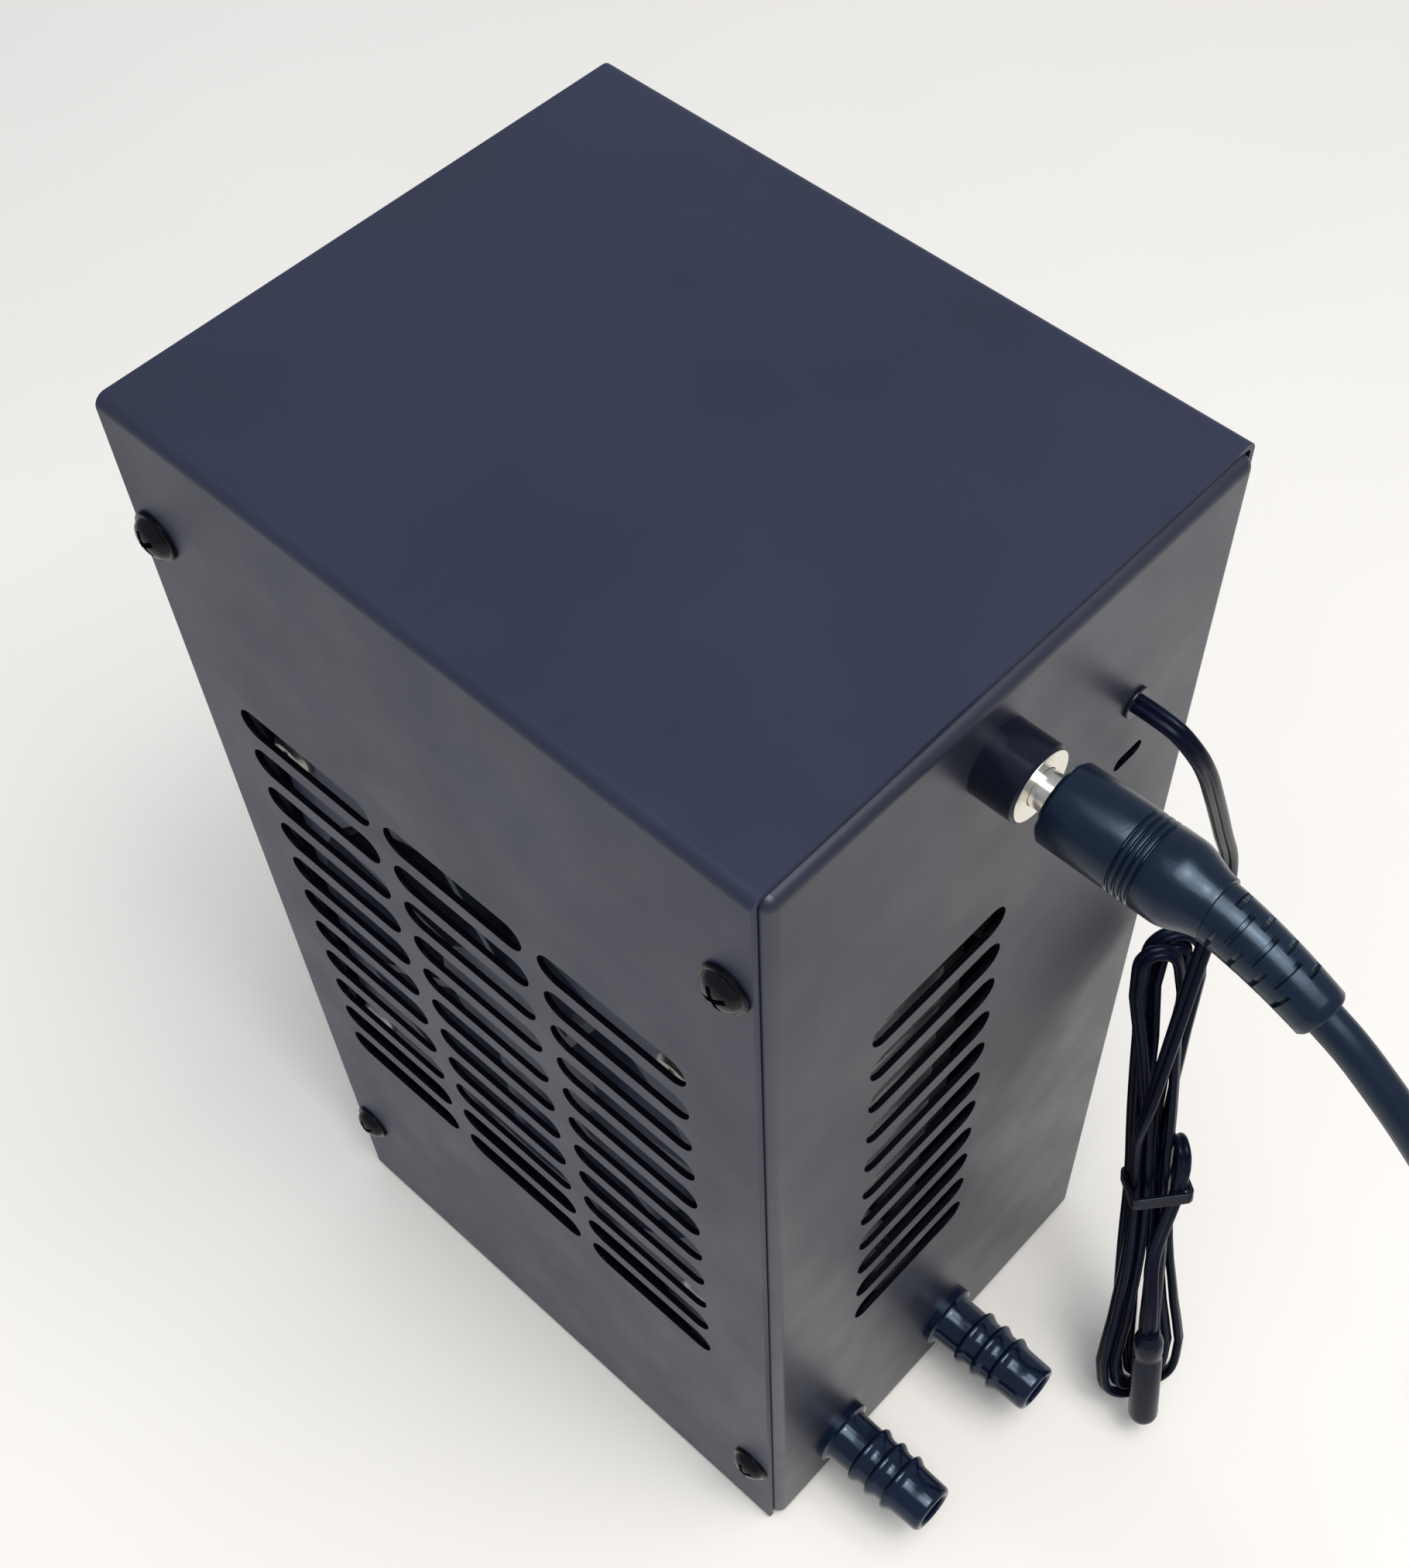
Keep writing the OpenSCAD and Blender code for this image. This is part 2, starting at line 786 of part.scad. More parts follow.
function hose_bend(x, port_y) = let (
    low = [x, spigot_y, barb_z],
    high = [port_x, vent_y + port_y, port_z]
) [for (i = [0 : hose_steps])
    bezier(low, low + [0, hose_reach, 0], high - [0, 0, hose_rise], high, i / hose_steps)];

// Path of a hose, longer at both ends by an extra length
function hose_path(x, port_y, extra) = concat(
    [[x, hose_y - extra, barb_z]],
    hose_bend(x, port_y),
    [[port_x, vent_y + port_y, hose_top + extra]]
);

module hose(x, port_y) {
    inner = (spigot_d / 2 + slip) / cos(180 / hose_sides);
    color(hose_tint, 0.6) difference() {
        tube(hose_path(x, port_y, 0), [1, 0, 0], hose_d / 2, hose_d / 2, hose_sides);
        tube(hose_path(x, port_y, over), [1, 0, 0], inner, inner, hose_sides);
    }
}

module inlet_hose() {
    hose(inlet_x, port_at);
}

module outlet_hose() {
    hose(outlet_x, -port_at);
}

module hose_clip() {
    clip_d = hose_d + 2 * slip;
    ring(clip_d + 2 * clip_t, clip_d, clip_w);
    for (s = [-1, 1]) translate([clip_d / 2 + clip_t / 2, s * clip_t - clip_t / 2, 0])
        cube([ear_w, clip_t, clip_w]);
}

module hose_clips() {
    color(steel) {
        for (x = [inlet_x, outlet_x]) on_front(x, barb_z)
            translate([0, 0, -barb_neck_l - (spigot_l + clip_w) / 2]) rotate(90) hose_clip();
        for (s = [-1, 1]) translate([port_x, vent_y + s * port_at, (port_z + hose_top - clip_w) / 2])
            hose_clip();
    }
}

// Fan, its frame's outer face at zero and its air leading inward

module in_fan() {
    into_case(fan_x, vent_y, vent_z) children();
}

module at_fan_holes() {
    for (sx = [-1, 1], sy = [-1, 1]) translate([sx * fan_hole_at, sy * fan_hole_at, 0]) children();
}

module fan_outline() {
    difference() {
        rounded_rect(fan_w, fan_w, fan_corner);
        circle(d = fan_bore);
    }
}

module fan_frame() {
    color(black) in_fan() {
        difference() {
            union() {
                linear_extrude(motor_z) fan_outline();
                translate([0, 0, motor_z]) linear_extrude(motor_t) {
                    fan_outline();
                    circle(d = motor_d);
                    for (a = [45, 135]) rotate(a) square([fan_bore + 2 * over, strut_w], center = true);
                }
            }
            at_fan_holes() translate([0, 0, -over]) cylinder(d = fan_hole_d, h = fan_t + 2 * over);
        }
        translate([0, 0, motor_z - bearing_l]) ring_open(bearing_d, shaft_d + 2 * run_gap, bearing_l);
    }
}

// Ring whose bore ends where the ring does
module ring_open(outer_d, inner_d, h) {
    difference() {
        cylinder(d = outer_d, h = h);
        translate([0, 0, -over]) cylinder(d = inner_d, h = h + over);
    }
}

module fan_rotor() {
    color(black) in_fan() translate([0, 0, cup_x]) {
        difference() {
            cylinder(d = hub_d, h = cup_l);
            translate([0, 0, cup_t]) cylinder(d = hub_d - 2 * cup_t, h = cup_l);
        }
        translate([0, 0, cup_t]) difference() {
            cylinder(d = bearing_d, h = boss_l);
            cylinder(d = shaft_d, h = boss_l + over);
        }
        intersection() {
            ring(fan_bore - 2 * tip_gap, hub_d - cup_t, cup_l);
            for (i = [0 : fan_blades - 1]) rotate(i * 360 / fan_blades)
                translate([hub_d / 2 - cup_t, 0, cup_l / 2]) rotate([blade_pitch, 0, 0])
                    translate([0, -blade_t / 2, -cup_l])
                        cube([fan_bore / 2, blade_t, 2 * cup_l]);
        }
    }
}

module fan_shaft() {
    color(steel) in_fan() translate([0, 0, cup_x + cup_t])
        cylinder(d = shaft_d, h = motor_z - cup_x - cup_t - slip);
}

module fan_stator() {
    color(brass) in_fan() translate([0, 0, motor_z - stator_t])
        ring(stator_d, bearing_d + 2 * slip, stator_t);
}

module fan_screws() {
    color(steel) in_fan() at_fan_holes() mirror([0, 0, 1])
        pan_screw(fan_screw_d, fan_t + fan_bite, fan_head_d, fan_head_h);
}

// Cooling stack

module at_clamp_screws() {
    for (sy = [-1, 1], sz = [-1, 1])
        into_case(head_x, vent_y + sy * clamp_at, vent_z + sz * bar_at) children();
}

module at_stand_screws() {
    for (s = [-1, 1])
        into_case(cold_x + stand_t, vent_y + s * stand_screw_at, stand_screw_z) children();
}

module heatsink() {
    color(aluminium) difference() {
        translate([fin_x, vent_y - sink_l / 2, sink_z]) {
            translate([fin_h, 0, 0]) cube([sink_base, sink_l, sink_h]);
            for (i = [0 : fins - 1]) translate([0, 0, i * (sink_h - fin_t) / (fins - 1)])
                cube([fin_h + slip, sink_l, fin_t]);
        }
        in_fan() at_fan_holes() translate([0, 0, fan_t - over])
            cylinder(d = fan_screw_d + 2 * slip, h = fan_bite + slip + over);
        at_clamp_screws() translate([0, 0, -clamp_l - slip])
            cylinder(d = small_d + 2 * slip, h = clamp_l);
        at_stand_screws() translate([0, 0, -stand_t - bite - slip])
            cylinder(d = small_d + 2 * slip, h = stand_t + bite + over);
    }
}

module sink_stand() {
    color(steel) difference() {
        union() {
            translate([cold_x, vent_y - stand_w / 2, floor_z])
                cube([stand_t, stand_w, sink_z + stand_over - floor_z]);
            translate([cold_x, vent_y - stand_w / 2, floor_z])
                cube([stand_t + stand_foot, stand_w, stand_t]);
        }
        translate([cold_x - over, vent_y + stand_leg - stand_w / 2, floor_z + stand_t + stand_sill])
            cube([
                stand_t + 2 * over, stand_w - 2 * stand_leg,
                sink_z + stand_over - stand_band - floor_z - stand_t - stand_sill
            ]);
        at_stand_screws() translate([0, 0, -stand_t - over])
            cylinder(d = small_d + 2 * slip, h = stand_t + 2 * over);
        for (s = [-1, 1]) translate([stand_foot_x, vent_y + s * stand_screw_at, floor_z - over])
            cylinder(d = small_d + 2 * slip, h = stand_t + 2 * over);
    }
}

module stand_screws() {
    color(steel) {
        at_stand_screws() pan_screw(small_d, stand_t + bite, small_head_d, small_head_h);
        for (s = [-1, 1])
            translate([stand_foot_x, vent_y + s * stand_screw_at, floor_z + stand_t])
                pan_screw(small_d, stand_t + sheet + stand_tail, small_head_d, small_head_h);
    }
}

module square_plate(x, side, t) {
    translate([x, vent_y - side / 2, vent_z - side / 2]) cube([t, side, side]);
}

module peltier_module() {
    color(white) {
        square_plate(cold_x, module_w, ceramic_t);
        square_plate(block_x - ceramic_t, module_w, ceramic_t);
        square_plate(cold_x, module_w - 2 * core_in, module_t);
    }
}

module module_gasket() {
    color(foam) difference() {
        square_plate(cold_x, gasket_w, module_t);
        square_plate(cold_x - over, module_w + 2 * slip, module_t + 2 * over);
        translate([cold_x - over, vent_y - wire_gap / 2, vent_z])
            cube([module_t + 2 * over, wire_gap, gasket_w]);
    }
}

module water_block() {
    inner_w = block_w - 2 * block_wall;
    color(aluminium) difference() {
        union() {
            square_plate(block_x, block_w, block_t);
            for (s = [-1, 1]) translate([port_x, vent_y + s * port_at, port_z])
                cylinder(d = spigot_d, h = port_l + block_wall);
        }
        difference() {
            square_plate(block_x + block_wall, inner_w, block_t - 2 * block_wall);
            translate([block_x, vent_y - divider_t / 2, vent_z - block_w / 2])
                cube([block_t, divider_t, divider_l]);
        }
        for (s = [-1, 1]) translate([port_x, vent_y + s * port_at, port_z - over])
            cylinder(d = barb_bore, h = port_l + block_wall + 2 * over);
    }
}

module block_insulation() {
    hold_w = block_w + 2 * slip;
    color(foam) difference() {
        square_plate(block_x, hold_w + 2 * wrap, block_t + wrap);
        square_plate(block_x - over, hold_w, block_t + over);
        translate([block_x - over, vent_y - port_at - spigot_d / 2 - slip, vent_z - block_w])
            cube([block_t + over, 2 * port_at + spigot_d + 2 * slip, block_w]);
    }
}

module clamp_bars() {
    color(aluminium) difference() {
        for (s = [-1, 1]) translate([bar_x, vent_y - bar_l / 2, vent_z + s * bar_at - bar_w / 2])
            cube([bar_t, bar_l, bar_w]);
        at_clamp_screws() translate([0, 0, -bar_t - over])
            cylinder(d = small_d + 2 * slip, h = bar_t + 2 * over);
    }
}

module clamp_screws() {
    color(steel) at_clamp_screws() pan_screw(small_d, clamp_l, small_head_d, small_head_h);
}

// Thermostat in the rear panel, its outer face leading out of the case

module in_pod() {
    on_rear(0, pod_z) children();
}

module thermostat_case() {
    color(black) in_pod() difference() {
        union() {
            linear_extrude(bezel_t) rounded_rect(bezel_w, bezel_h, bezel_r);
            translate([0, 0, -pod_l / 2]) cube([pod_w, pod_h, pod_l], center = true);
        }
        translate([0, 0, -pod_l / 2 - over / 2])
            cube([pod_w - 2 * pod_wall, pod_h - 2 * pod_wall, pod_l + over], center = true);
        translate([window_x, window_y, 0])
            cube([window_w + 2 * slip, window_h + 2 * slip, bezel_t * 3], center = true);
        for (s = [-1, 1]) translate([button_x, s * button_y, -over])
            cylinder(d = button_d + 2 * slip, h = bezel_t + 2 * over);
    }
}

module thermostat_back() {
    color(black) in_pod() difference() {
        translate([0, 0, -pod_l - vent_cap_t / 2]) cube([pod_w, pod_h, vent_cap_t], center = true);
        translate([term_x, term_y, -pod_l])
            cube([term_w + 2 * term_margin, term_h + 2 * term_margin, vent_cap_t * 3], center = true);
    }
}

module thermostat_board() {
    color(green) in_pod() translate([0, 0, -board_at - board_t / 2])
        cube([board_w, board_h, board_t], center = true);
}

module display_digits() {
    color(white) in_pod() translate([window_x, window_y, -board_at / 2 - slip / 2])
        cube([digits_w, digits_h, board_at - slip], center = true);
}

module display_lens() {
    color([0.3, 0.05, 0.05]) in_pod() translate([window_x, window_y, bezel_t / 2 - slip / 2])
        cube([window_w, window_h, bezel_t - slip], center = true);
}

module tact_switches() {
    color(steel) in_pod() for (s = [-1, 1]) translate([button_x, s * button_y, -board_at]) {
        translate([-switch_w / 2, -switch_w / 2, 0]) cube([switch_w, switch_w, switch_t]);
        cylinder(d = plunger_d, h = switch_t + plunger_l);
    }
}

// The stem stops short of the switch by the travel and a little more
module button(s) {
    stem_l = board_at - switch_t - plunger_l - button_flange - 2 * slip - button_travel;
    color(white) in_pod() translate([button_x, s * button_y, 0]) {
        translate([0, 0, -slip]) cylinder(d = button_d, h = bezel_t + button_proud + slip);
        translate([0, 0, -slip - button_flange])
            cylinder(d = button_d + 2 * button_flange, h = button_flange);
        translate([0, 0, -slip - button_flange - stem_l]) cylinder(d = button_stem_d, h = stem_l);
    }
}

module button_up() {
    button(1);
}

module button_down() {
    button(-1);
}

module relay() {
    color([0.1, 0.25, 0.6]) in_pod() translate([relay_x, 0, -board_at - board_t - relay_t / 2])
        cube([relay_w, relay_h, relay_t], center = true);
}

module terminal_block() {
    color(green) in_pod() translate([term_x, term_y, -board_at - board_t - term_t / 2])
        cube([term_w, term_h, term_t], center = true);
}

// Wires, each from its start and heading to its own place in the terminal block

function term_end(k) = [
    -term_x + (k - (term_ways - 1) / 2) * term_step,
    case_l / 2 - board_at - board_t - term_t,
    pod_z + term_y
];
function wire_path(from, way, k, reach) = [for (i = [0 : wire_steps])
    bezier(from, from + reach * way, term_end(k) - [0, reach, 0], term_end(k), i / wire_steps)];

module wire(path) {
    tube(path, [1, 0, 0], wire_d / 2, wire_d / 2, wire_sides);
}

module fan_wires() {
    color(black) for (k = [0, 1])
        wire(wire_path([
            fan_x + fan_t - wire_d, vent_y + fan_wire_y - k * wire_step, vent_z + fan_w / 2
        ], [0, 0, 1], k, fan_wire_reach));
}

module power_wires() {
    tail_y = jack_depth + tail_l - case_l / 2;
    color([0.7, 0.1, 0.1]) {
        wire(wire_path([jack_x, tail_y, jack_z], [0, 1, 0], 2, power_reach));
        wire(wire_path([jack_x, tail_y, jack_z - tab_y + tab_t / 2], [0, 1, 0], 3, power_reach));
    }
}

module module_wires() {
    color([0.7, 0.1, 0.1]) for (k = [0, 1])
        wire(wire_path([
            (cold_x + block_x) / 2, vent_y + (k - 0.5) * wire_step * 2, vent_z + module_w / 2 - core_in
        ], [0, 0, 1], 4 + k, module_reach));
}

// Sensor cord

module probe_grommet() {
    color(black) on_front(probe_x, probe_z) difference() {
        union() {
            cylinder(d = bush_d, h = bush_t);
            translate([0, 0, -sheet]) cylinder(d = bush_hole_d, h = sheet);
            translate([0, 0, -sheet - bush_t]) cylinder(d = bush_d, h = bush_t);
        }
        translate([0, 0, -sheet - bush_t - over])
            cylinder(d = probe_w + 2 * slip, h = sheet + 2 * (bush_t + over));
    }
}

module probe_lead_inner() {
    out = [probe_x, -case_l / 2 - bush_t, probe_z];
    bush_end = [probe_x, sheet + 2 * bush_t - case_l / 2, probe_z];
    color(black)
        tube(concat([out], wire_path(bush_end, [0, 1, 0], 6, probe_reach)),
            [1, 0, 0], probe_w / 2, probe_t / 2, cord_sides);
}

function in_hank_frame(p) = hank_foot + p[0] * hank_n - p[1] * hank_w + p[2] * hank_a;

module probe_cord() {
    path = concat(
        [[probe_x, -case_l / 2 - bush_t, probe_z]],
        probe_route,
        [in_hank_frame(hank_start + [0, 0, hank_lead]), in_hank_frame(hank_start)]
    );
    color(black) tube(path, hank_n, probe_w / 2, probe_t / 2, cord_sides);
}

function hank_half(k, share) =
    waist_in + waist_step * k
        + (hank_in + (hank_step - waist_step) * k - waist_in) * pow(sin(90 * share), 2);

// One point of the loops after t turns, which start at the left of the waist and go down.
// The front layer spreads to the left of the waist and the layer behind it to the right.
function hank_point(t) = let (
    u = t - floor(t),
    k = abs(t - hank_back),
    x = hank_layer * (smooth((t - hank_back) * 10 + 0.5) - 0.5),
    ends = hank_half(k, 1),
    spread = min(1, 8 * min(u, abs(u - 1 / 2), 1 - u)),
    aside = -2 * x / hank_layer * hank_shift * pow(sin(90 * spread), 4)
)
    u < 1 / 8 ? [x, aside + hank_half(k, spread), hank_mid - hank_run / 2 * spread] :
    u < 3 / 8 ? let (a = (u - 1 / 8) * 720)
        [x, aside + ends * cos(a), hank_mid - hank_run / 2 - ends * sin(a)] :
    u < 5 / 8 ? [x, aside - hank_half(k, spread), hank_mid + hank_run / 2 * (u - 1 / 2) * 8] :
    u < 7 / 8 ? let (a = (u - 5 / 8) * 720)
        [x, aside - ends * cos(a), hank_mid + hank_run / 2 + ends * sin(a)] :
    [x, aside + hank_half(k, spread), hank_mid + hank_run / 2 * spread];

hank_loops = [for (i = [0 : hank_turns * hank_rings]) hank_point(i / hank_rings)];
// After the loops the cord folds over the right of the bundle and comes down its front
fold_rise = [for (i = [1 : 4]) let (s = smooth(i / 4)) [
    [hank_layer / 2, -fold_y - fold_out * s + fold_out, hank_mid + fold_up * i / 4],
    [cos(90 * s), sin(90 * s), 0]
]];
fold_arc = [for (a = [30 : 30 : 180]) [
    [hank_layer / 2 - fold_r_in + fold_r_in * cos(a), -fold_y, hank_mid + fold_up + fold_r_in * sin(a)],
    [0, 1, 0]
]];
fold_tail = [for (i = [1 : 9]) let (s = i / 9)
    [[-front_x - (tip_x - front_x) * smooth(2 * s - 1), -fold_y * (1 - smooth(s * tail_turn_share)),
        hank_mid + fold_up - (hank_mid + fold_up - tail_end - probe_w) * s], [0, 1, 0]]];
fold_stub = [[[-tip_x, 0, tail_end], [0, 1, 0]]];

module probe_hank() {
    head = [for (p = concat([hank_start], hank_loops)) [p, [1, 0, 0]]];
    all = concat(head, fold_rise, fold_arc, fold_tail, fold_stub);
    path = [for (q = all) q[0]];
    color(black) in_hank()
        skin([for (i = [0 : len(all) - 1])
            tube_ring(path[i], heading(path, i), all[i][1], probe_w / 2, probe_t / 2, probe_sides)]);
    n = len(hank_loops);
    gaps = [
        for (i = [0 : n - 1], j = [i + hank_rings / 3 : n - 1])
            let (d = hank_loops[i] - hank_loops[j])
            norm([max(0, abs(d[0]) - probe_w), max(0, norm([d[1], d[2]]) - probe_t)])
    ];
    echo(hank_least_gap = min(gaps));
}

module probe_tip() {
    color(black) in_hank() translate([-tip_x, 0, tip_low]) {
        translate([0, 0, capsule_d / 2]) {
            sphere(d = capsule_d);
            cylinder(d = capsule_d, h = capsule_l - capsule_d / 2);
        }
    }
}

module probe_tie() {
    low_x = -front_x - probe_t / 2 - slip;
    high_x = (hank_layer + probe_w) / 2 + slip;
    low_y = -fold_y - probe_w / 2 - slip;
    high_y = waist_in + waist_step * hank_back + probe_t / 2 + slip;
    inner_x = high_x - low_x;
    inner_y = high_y - low_y;
    color(black) in_hank() translate([(low_x + high_x) / 2, (low_y + high_y) / 2, hank_mid - tie_w / 2]) {
        linear_extrude(tie_w) difference() {
            rounded_rect(inner_x + 2 * tie_t, inner_y + 2 * tie_t, tie_r + tie_t);
            rounded_rect(inner_x, inner_y, tie_r);
        }
        translate([inner_x / 2 + tie_t / 2, -tie_head_l / 2, -(tie_head_w - tie_w) / 2])
            cube([tie_head_h, tie_head_l, tie_head_w]);
    }
}

// Plug and lead

function relief_point(s) = [
    jack_x, plug_y - plug_grip_l - relief_l * s, jack_z - relief_drop * pow(s, relief_power)
];
relief_rings = concat(
    [[relief_start_share, 1]],
    [for (i = [0 : relief_ribs - 1], j = [0 : 3]) [
        relief_rib_share + (i + relief_step_shares[j]) * relief_pitch_share,
        j == 0 || j == 3 ? 1 : relief_dip_share
    ]],
    [[relief_rib_share + relief_ribs * relief_pitch_share, 1], [1, 1]]
);
relief_path = [for (q = relief_rings) relief_point(q[0])];
lead_way = unit(last_of(relief_path) - relief_path[len(relief_path) - 2]);

module plug_body() {
    color(black) {
        on_front(jack_x, jack_z) translate([0, 0, -case_l / 2 - plug_y]) difference() {
            rotate_extrude() polygon([
                [0, 0], [plug_d / 2 - plug_edge, 0], [plug_d / 2, plug_edge], [plug_d / 2, plug_grip_l],
                [plug_neck_d / 2, plug_grip_l + plug_taper_l], [0, plug_grip_l + plug_taper_l]
            ]);
            translate([0, 0, -over]) cylinder(d = barrel_d + 2 * sleeve_gap, h = barrel_root + over);
            for (i = [0 : grooves - 1]) translate([0, 0, groove_at + i * groove_step])
                ring(plug_d + over, plug_d - 2 * groove_t, groove_w);
        }
        skin([for (i = [0 : len(relief_rings) - 1]) let (
            s = relief_rings[i][0],
            r = (relief_top_d + (relief_end_d - relief_top_d) * s) * relief_rings[i][1] / 2
        ) tube_ring(relief_path[i], heading(relief_path, i), [1, 0, 0], r, r, relief_sides)]);
    }
}

module plug_barrel() {
    color(nickel) on_front(jack_x, jack_z) translate([0, 0, -case_l / 2 - plug_y - barrel_l])
        ring(barrel_d, barrel_d - 2 * barrel_wall, barrel_l + barrel_root);
}

module lead_cord() {
    start = last_of(relief_path);
    path = concat(
        [start, start + lead_d * lead_way],
        [for (p = lead_route) [jack_x, p[0], p[1]]],
        [coil_start]
    );
    color(black) tube(path, [1, 0, 0], lead_d / 2, lead_d / 2, lead_sides);
}

// One point of the coil after t turns, winding in on top and out below
function coil_point(t) = let (
    r = coil_in + coil_step * abs(t - turns_in),
    a = 180 + 360 * t
) [coil_x + r * cos(a), coil_y + r * sin(a), coil_low + coil_step * (1 - smooth((t - turns_in) * 2 + 0.5))];

coil_loops = [for (i = [0 : (turns_in + turns_out) * coil_rings]) coil_point(i / coil_rings)];
coil_path = concat(
    [coil_start],
    coil_loops,
    [for (i = [1 : 5]) last_of(coil_loops)
        + [0, coil_end_l * i / 5, (socket_d / 2 - coil_low) * smooth(i / 5)]],
    [last_of(coil_loops) + [0, coil_end_l + lead_d, socket_d / 2 - coil_low]]
);

module lead_coil() {
    color(black) tube(coil_path, [0, 0, 1], lead_d / 2, lead_d / 2, coil_sides);
    n = len(coil_path);
    gaps = [
        for (i = [0 : n - 1], j = [i + coil_rings / 3 : 1 : n - 1])
            norm(coil_path[i] - coil_path[j]) - lead_d
    ];
    echo(coil_least_gap = min(gaps));
}

module lead_socket() {
    color(black) translate(last_of(coil_path)) rotate([-90, 0, 0]) difference() {
        union() {
            cylinder(d1 = lead_d + socket_wall, d2 = socket_neck_d, h = socket_neck_l);
            translate([0, 0, socket_neck_l]) cylinder(d = socket_d, h = socket_l);
        }
        translate([0, 0, socket_neck_l + socket_l - socket_bore_l])
            ring_hole(barrel_d + 2 * slip, pin_d, socket_bore_l);
    }
}

// Round hole with a pin standing in it
module ring_hole(hole_d, post_d, depth) {
    difference() {
        cylinder(d = hole_d, h = depth + over);
        translate([0, 0, -over]) cylinder(d = post_d, h = depth + over - pin_inset);
    }
}

cover();
chassis();
cover_screws();
rubber_feet();
jack_housing();
jack_sleeve();
jack_pin();
jack_nut();
inlet_barb();
outlet_barb();
barb_nuts();
barb_seals();
inlet_hose();
outlet_hose();
hose_clips();
fan_frame();
fan_rotor();
fan_shaft();
fan_stator();
fan_screws();
heatsink();
sink_stand();
stand_screws();
peltier_module();
module_gasket();
water_block();
block_insulation();
clamp_bars();
clamp_screws();
thermostat_case();
thermostat_back();
thermostat_board();
display_lens();
display_digits();
button_up();
button_down();
tact_switches();
relay();
terminal_block();
power_wires();
module_wires();
fan_wires();
probe_grommet();
probe_lead_inner();
probe_cord();
probe_hank();
probe_tie();
probe_tip();
plug_body();
plug_barrel();
lead_cord();
lead_coil();
lead_socket();
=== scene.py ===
"""An upright aquarium chiller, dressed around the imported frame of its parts."""

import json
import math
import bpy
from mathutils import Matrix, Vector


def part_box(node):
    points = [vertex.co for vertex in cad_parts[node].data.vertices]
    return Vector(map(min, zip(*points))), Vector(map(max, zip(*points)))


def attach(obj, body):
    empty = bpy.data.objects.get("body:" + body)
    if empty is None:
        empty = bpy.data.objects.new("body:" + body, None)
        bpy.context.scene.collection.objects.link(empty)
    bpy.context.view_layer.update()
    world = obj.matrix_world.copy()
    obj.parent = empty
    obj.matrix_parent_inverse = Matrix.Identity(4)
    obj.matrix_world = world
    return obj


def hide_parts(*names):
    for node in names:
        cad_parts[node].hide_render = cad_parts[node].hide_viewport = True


bl_info = {
    "name": "Aquarium chiller",
    "version": (1, 0, 0),
    "blender": (4, 5, 0),
    "location": "3D View > Sidebar > Chiller",
    "description": "Builds the pieces and the finishes of an upright aquarium chiller",
    "category": "Object",
}

import bmesh
import bpy
from mathutils import Matrix, Vector

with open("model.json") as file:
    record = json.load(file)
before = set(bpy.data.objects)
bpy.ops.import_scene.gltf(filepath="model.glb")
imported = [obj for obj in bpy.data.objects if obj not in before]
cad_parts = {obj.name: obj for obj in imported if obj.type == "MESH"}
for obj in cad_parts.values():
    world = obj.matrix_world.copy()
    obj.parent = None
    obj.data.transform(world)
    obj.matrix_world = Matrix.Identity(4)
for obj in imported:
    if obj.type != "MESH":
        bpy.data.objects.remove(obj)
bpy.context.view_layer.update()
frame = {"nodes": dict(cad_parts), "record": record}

RECORD = frame["record"]
SLOT_OF = {part["node"]: part["material_slot"] for part in RECORD["subparts"]}
BODY_OF = {
    node: body
    for body, nodes in RECORD["behaviour"]["bodies"].items()
    for node in nodes
}
# Where the case's faces lie: the front panel on Y, the cover's sides on X, its top on Z.
FRONT, SIDE, TOP = -0.060, 0.048, 0.230


# Settings

class ChillerFinishes(bpy.types.PropertyGroup):
    """Tones of the finishes that a user would change."""

    paint: bpy.props.FloatVectorProperty(
        name="Paint", description="Tone of the powder coat on the sheets",
        subtype="COLOR", size=3, min=0, max=1, default=(0.018, 0.0215, 0.043))
    moulding: bpy.props.FloatVectorProperty(
        name="Mouldings", description="Tone of the black mouldings",
        subtype="COLOR", size=3, min=0, max=1, default=(0.005, 0.006, 0.013))
    jacket: bpy.props.FloatVectorProperty(
        name="Jackets", description="Tone of the plug, the lead and the sensor cord",
        subtype="COLOR", size=3, min=0, max=1, default=(0.003, 0.007, 0.017))
    nickel: bpy.props.FloatVectorProperty(
        name="Nickel", description="Tone of the plated contacts",
        subtype="COLOR", size=3, min=0, max=1, default=(0.72, 0.69, 0.62))
    floor: bpy.props.FloatVectorProperty(
        name="Floor", description="Tone of the floor under the chiller",
        subtype="COLOR", size=3, min=0, max=1, default=(0.80, 0.77, 0.725))


class ChillerSizes(bpy.types.PropertyGroup):
    """Small sizes that the pieces get on top of the frame's own."""

    sheet_ease: bpy.props.FloatProperty(
        name="Sheet edges", description="Rounding of the cut edges of the sheets",
        unit="LENGTH", min=0, default=0.0003)
    moulding_ease: bpy.props.FloatProperty(
        name="Moulding edges", description="Rounding of the edges of the mouldings",
        unit="LENGTH", min=0, default=0.0003)
    cord_groove: bpy.props.FloatProperty(
        name="Cord groove", description="Depth of the groove between the cord's two cores",
        unit="LENGTH", min=0, default=0.00022)
    recess_depth: bpy.props.FloatProperty(
        name="Recess depth", description="Depth of the cross in the cover screws",
        unit="LENGTH", min=0, default=0.0014)
    slot_depth: bpy.props.FloatProperty(
        name="Relief slots", description="Depth of the slots in the plug's strain relief",
        unit="LENGTH", min=0, default=0.0008)


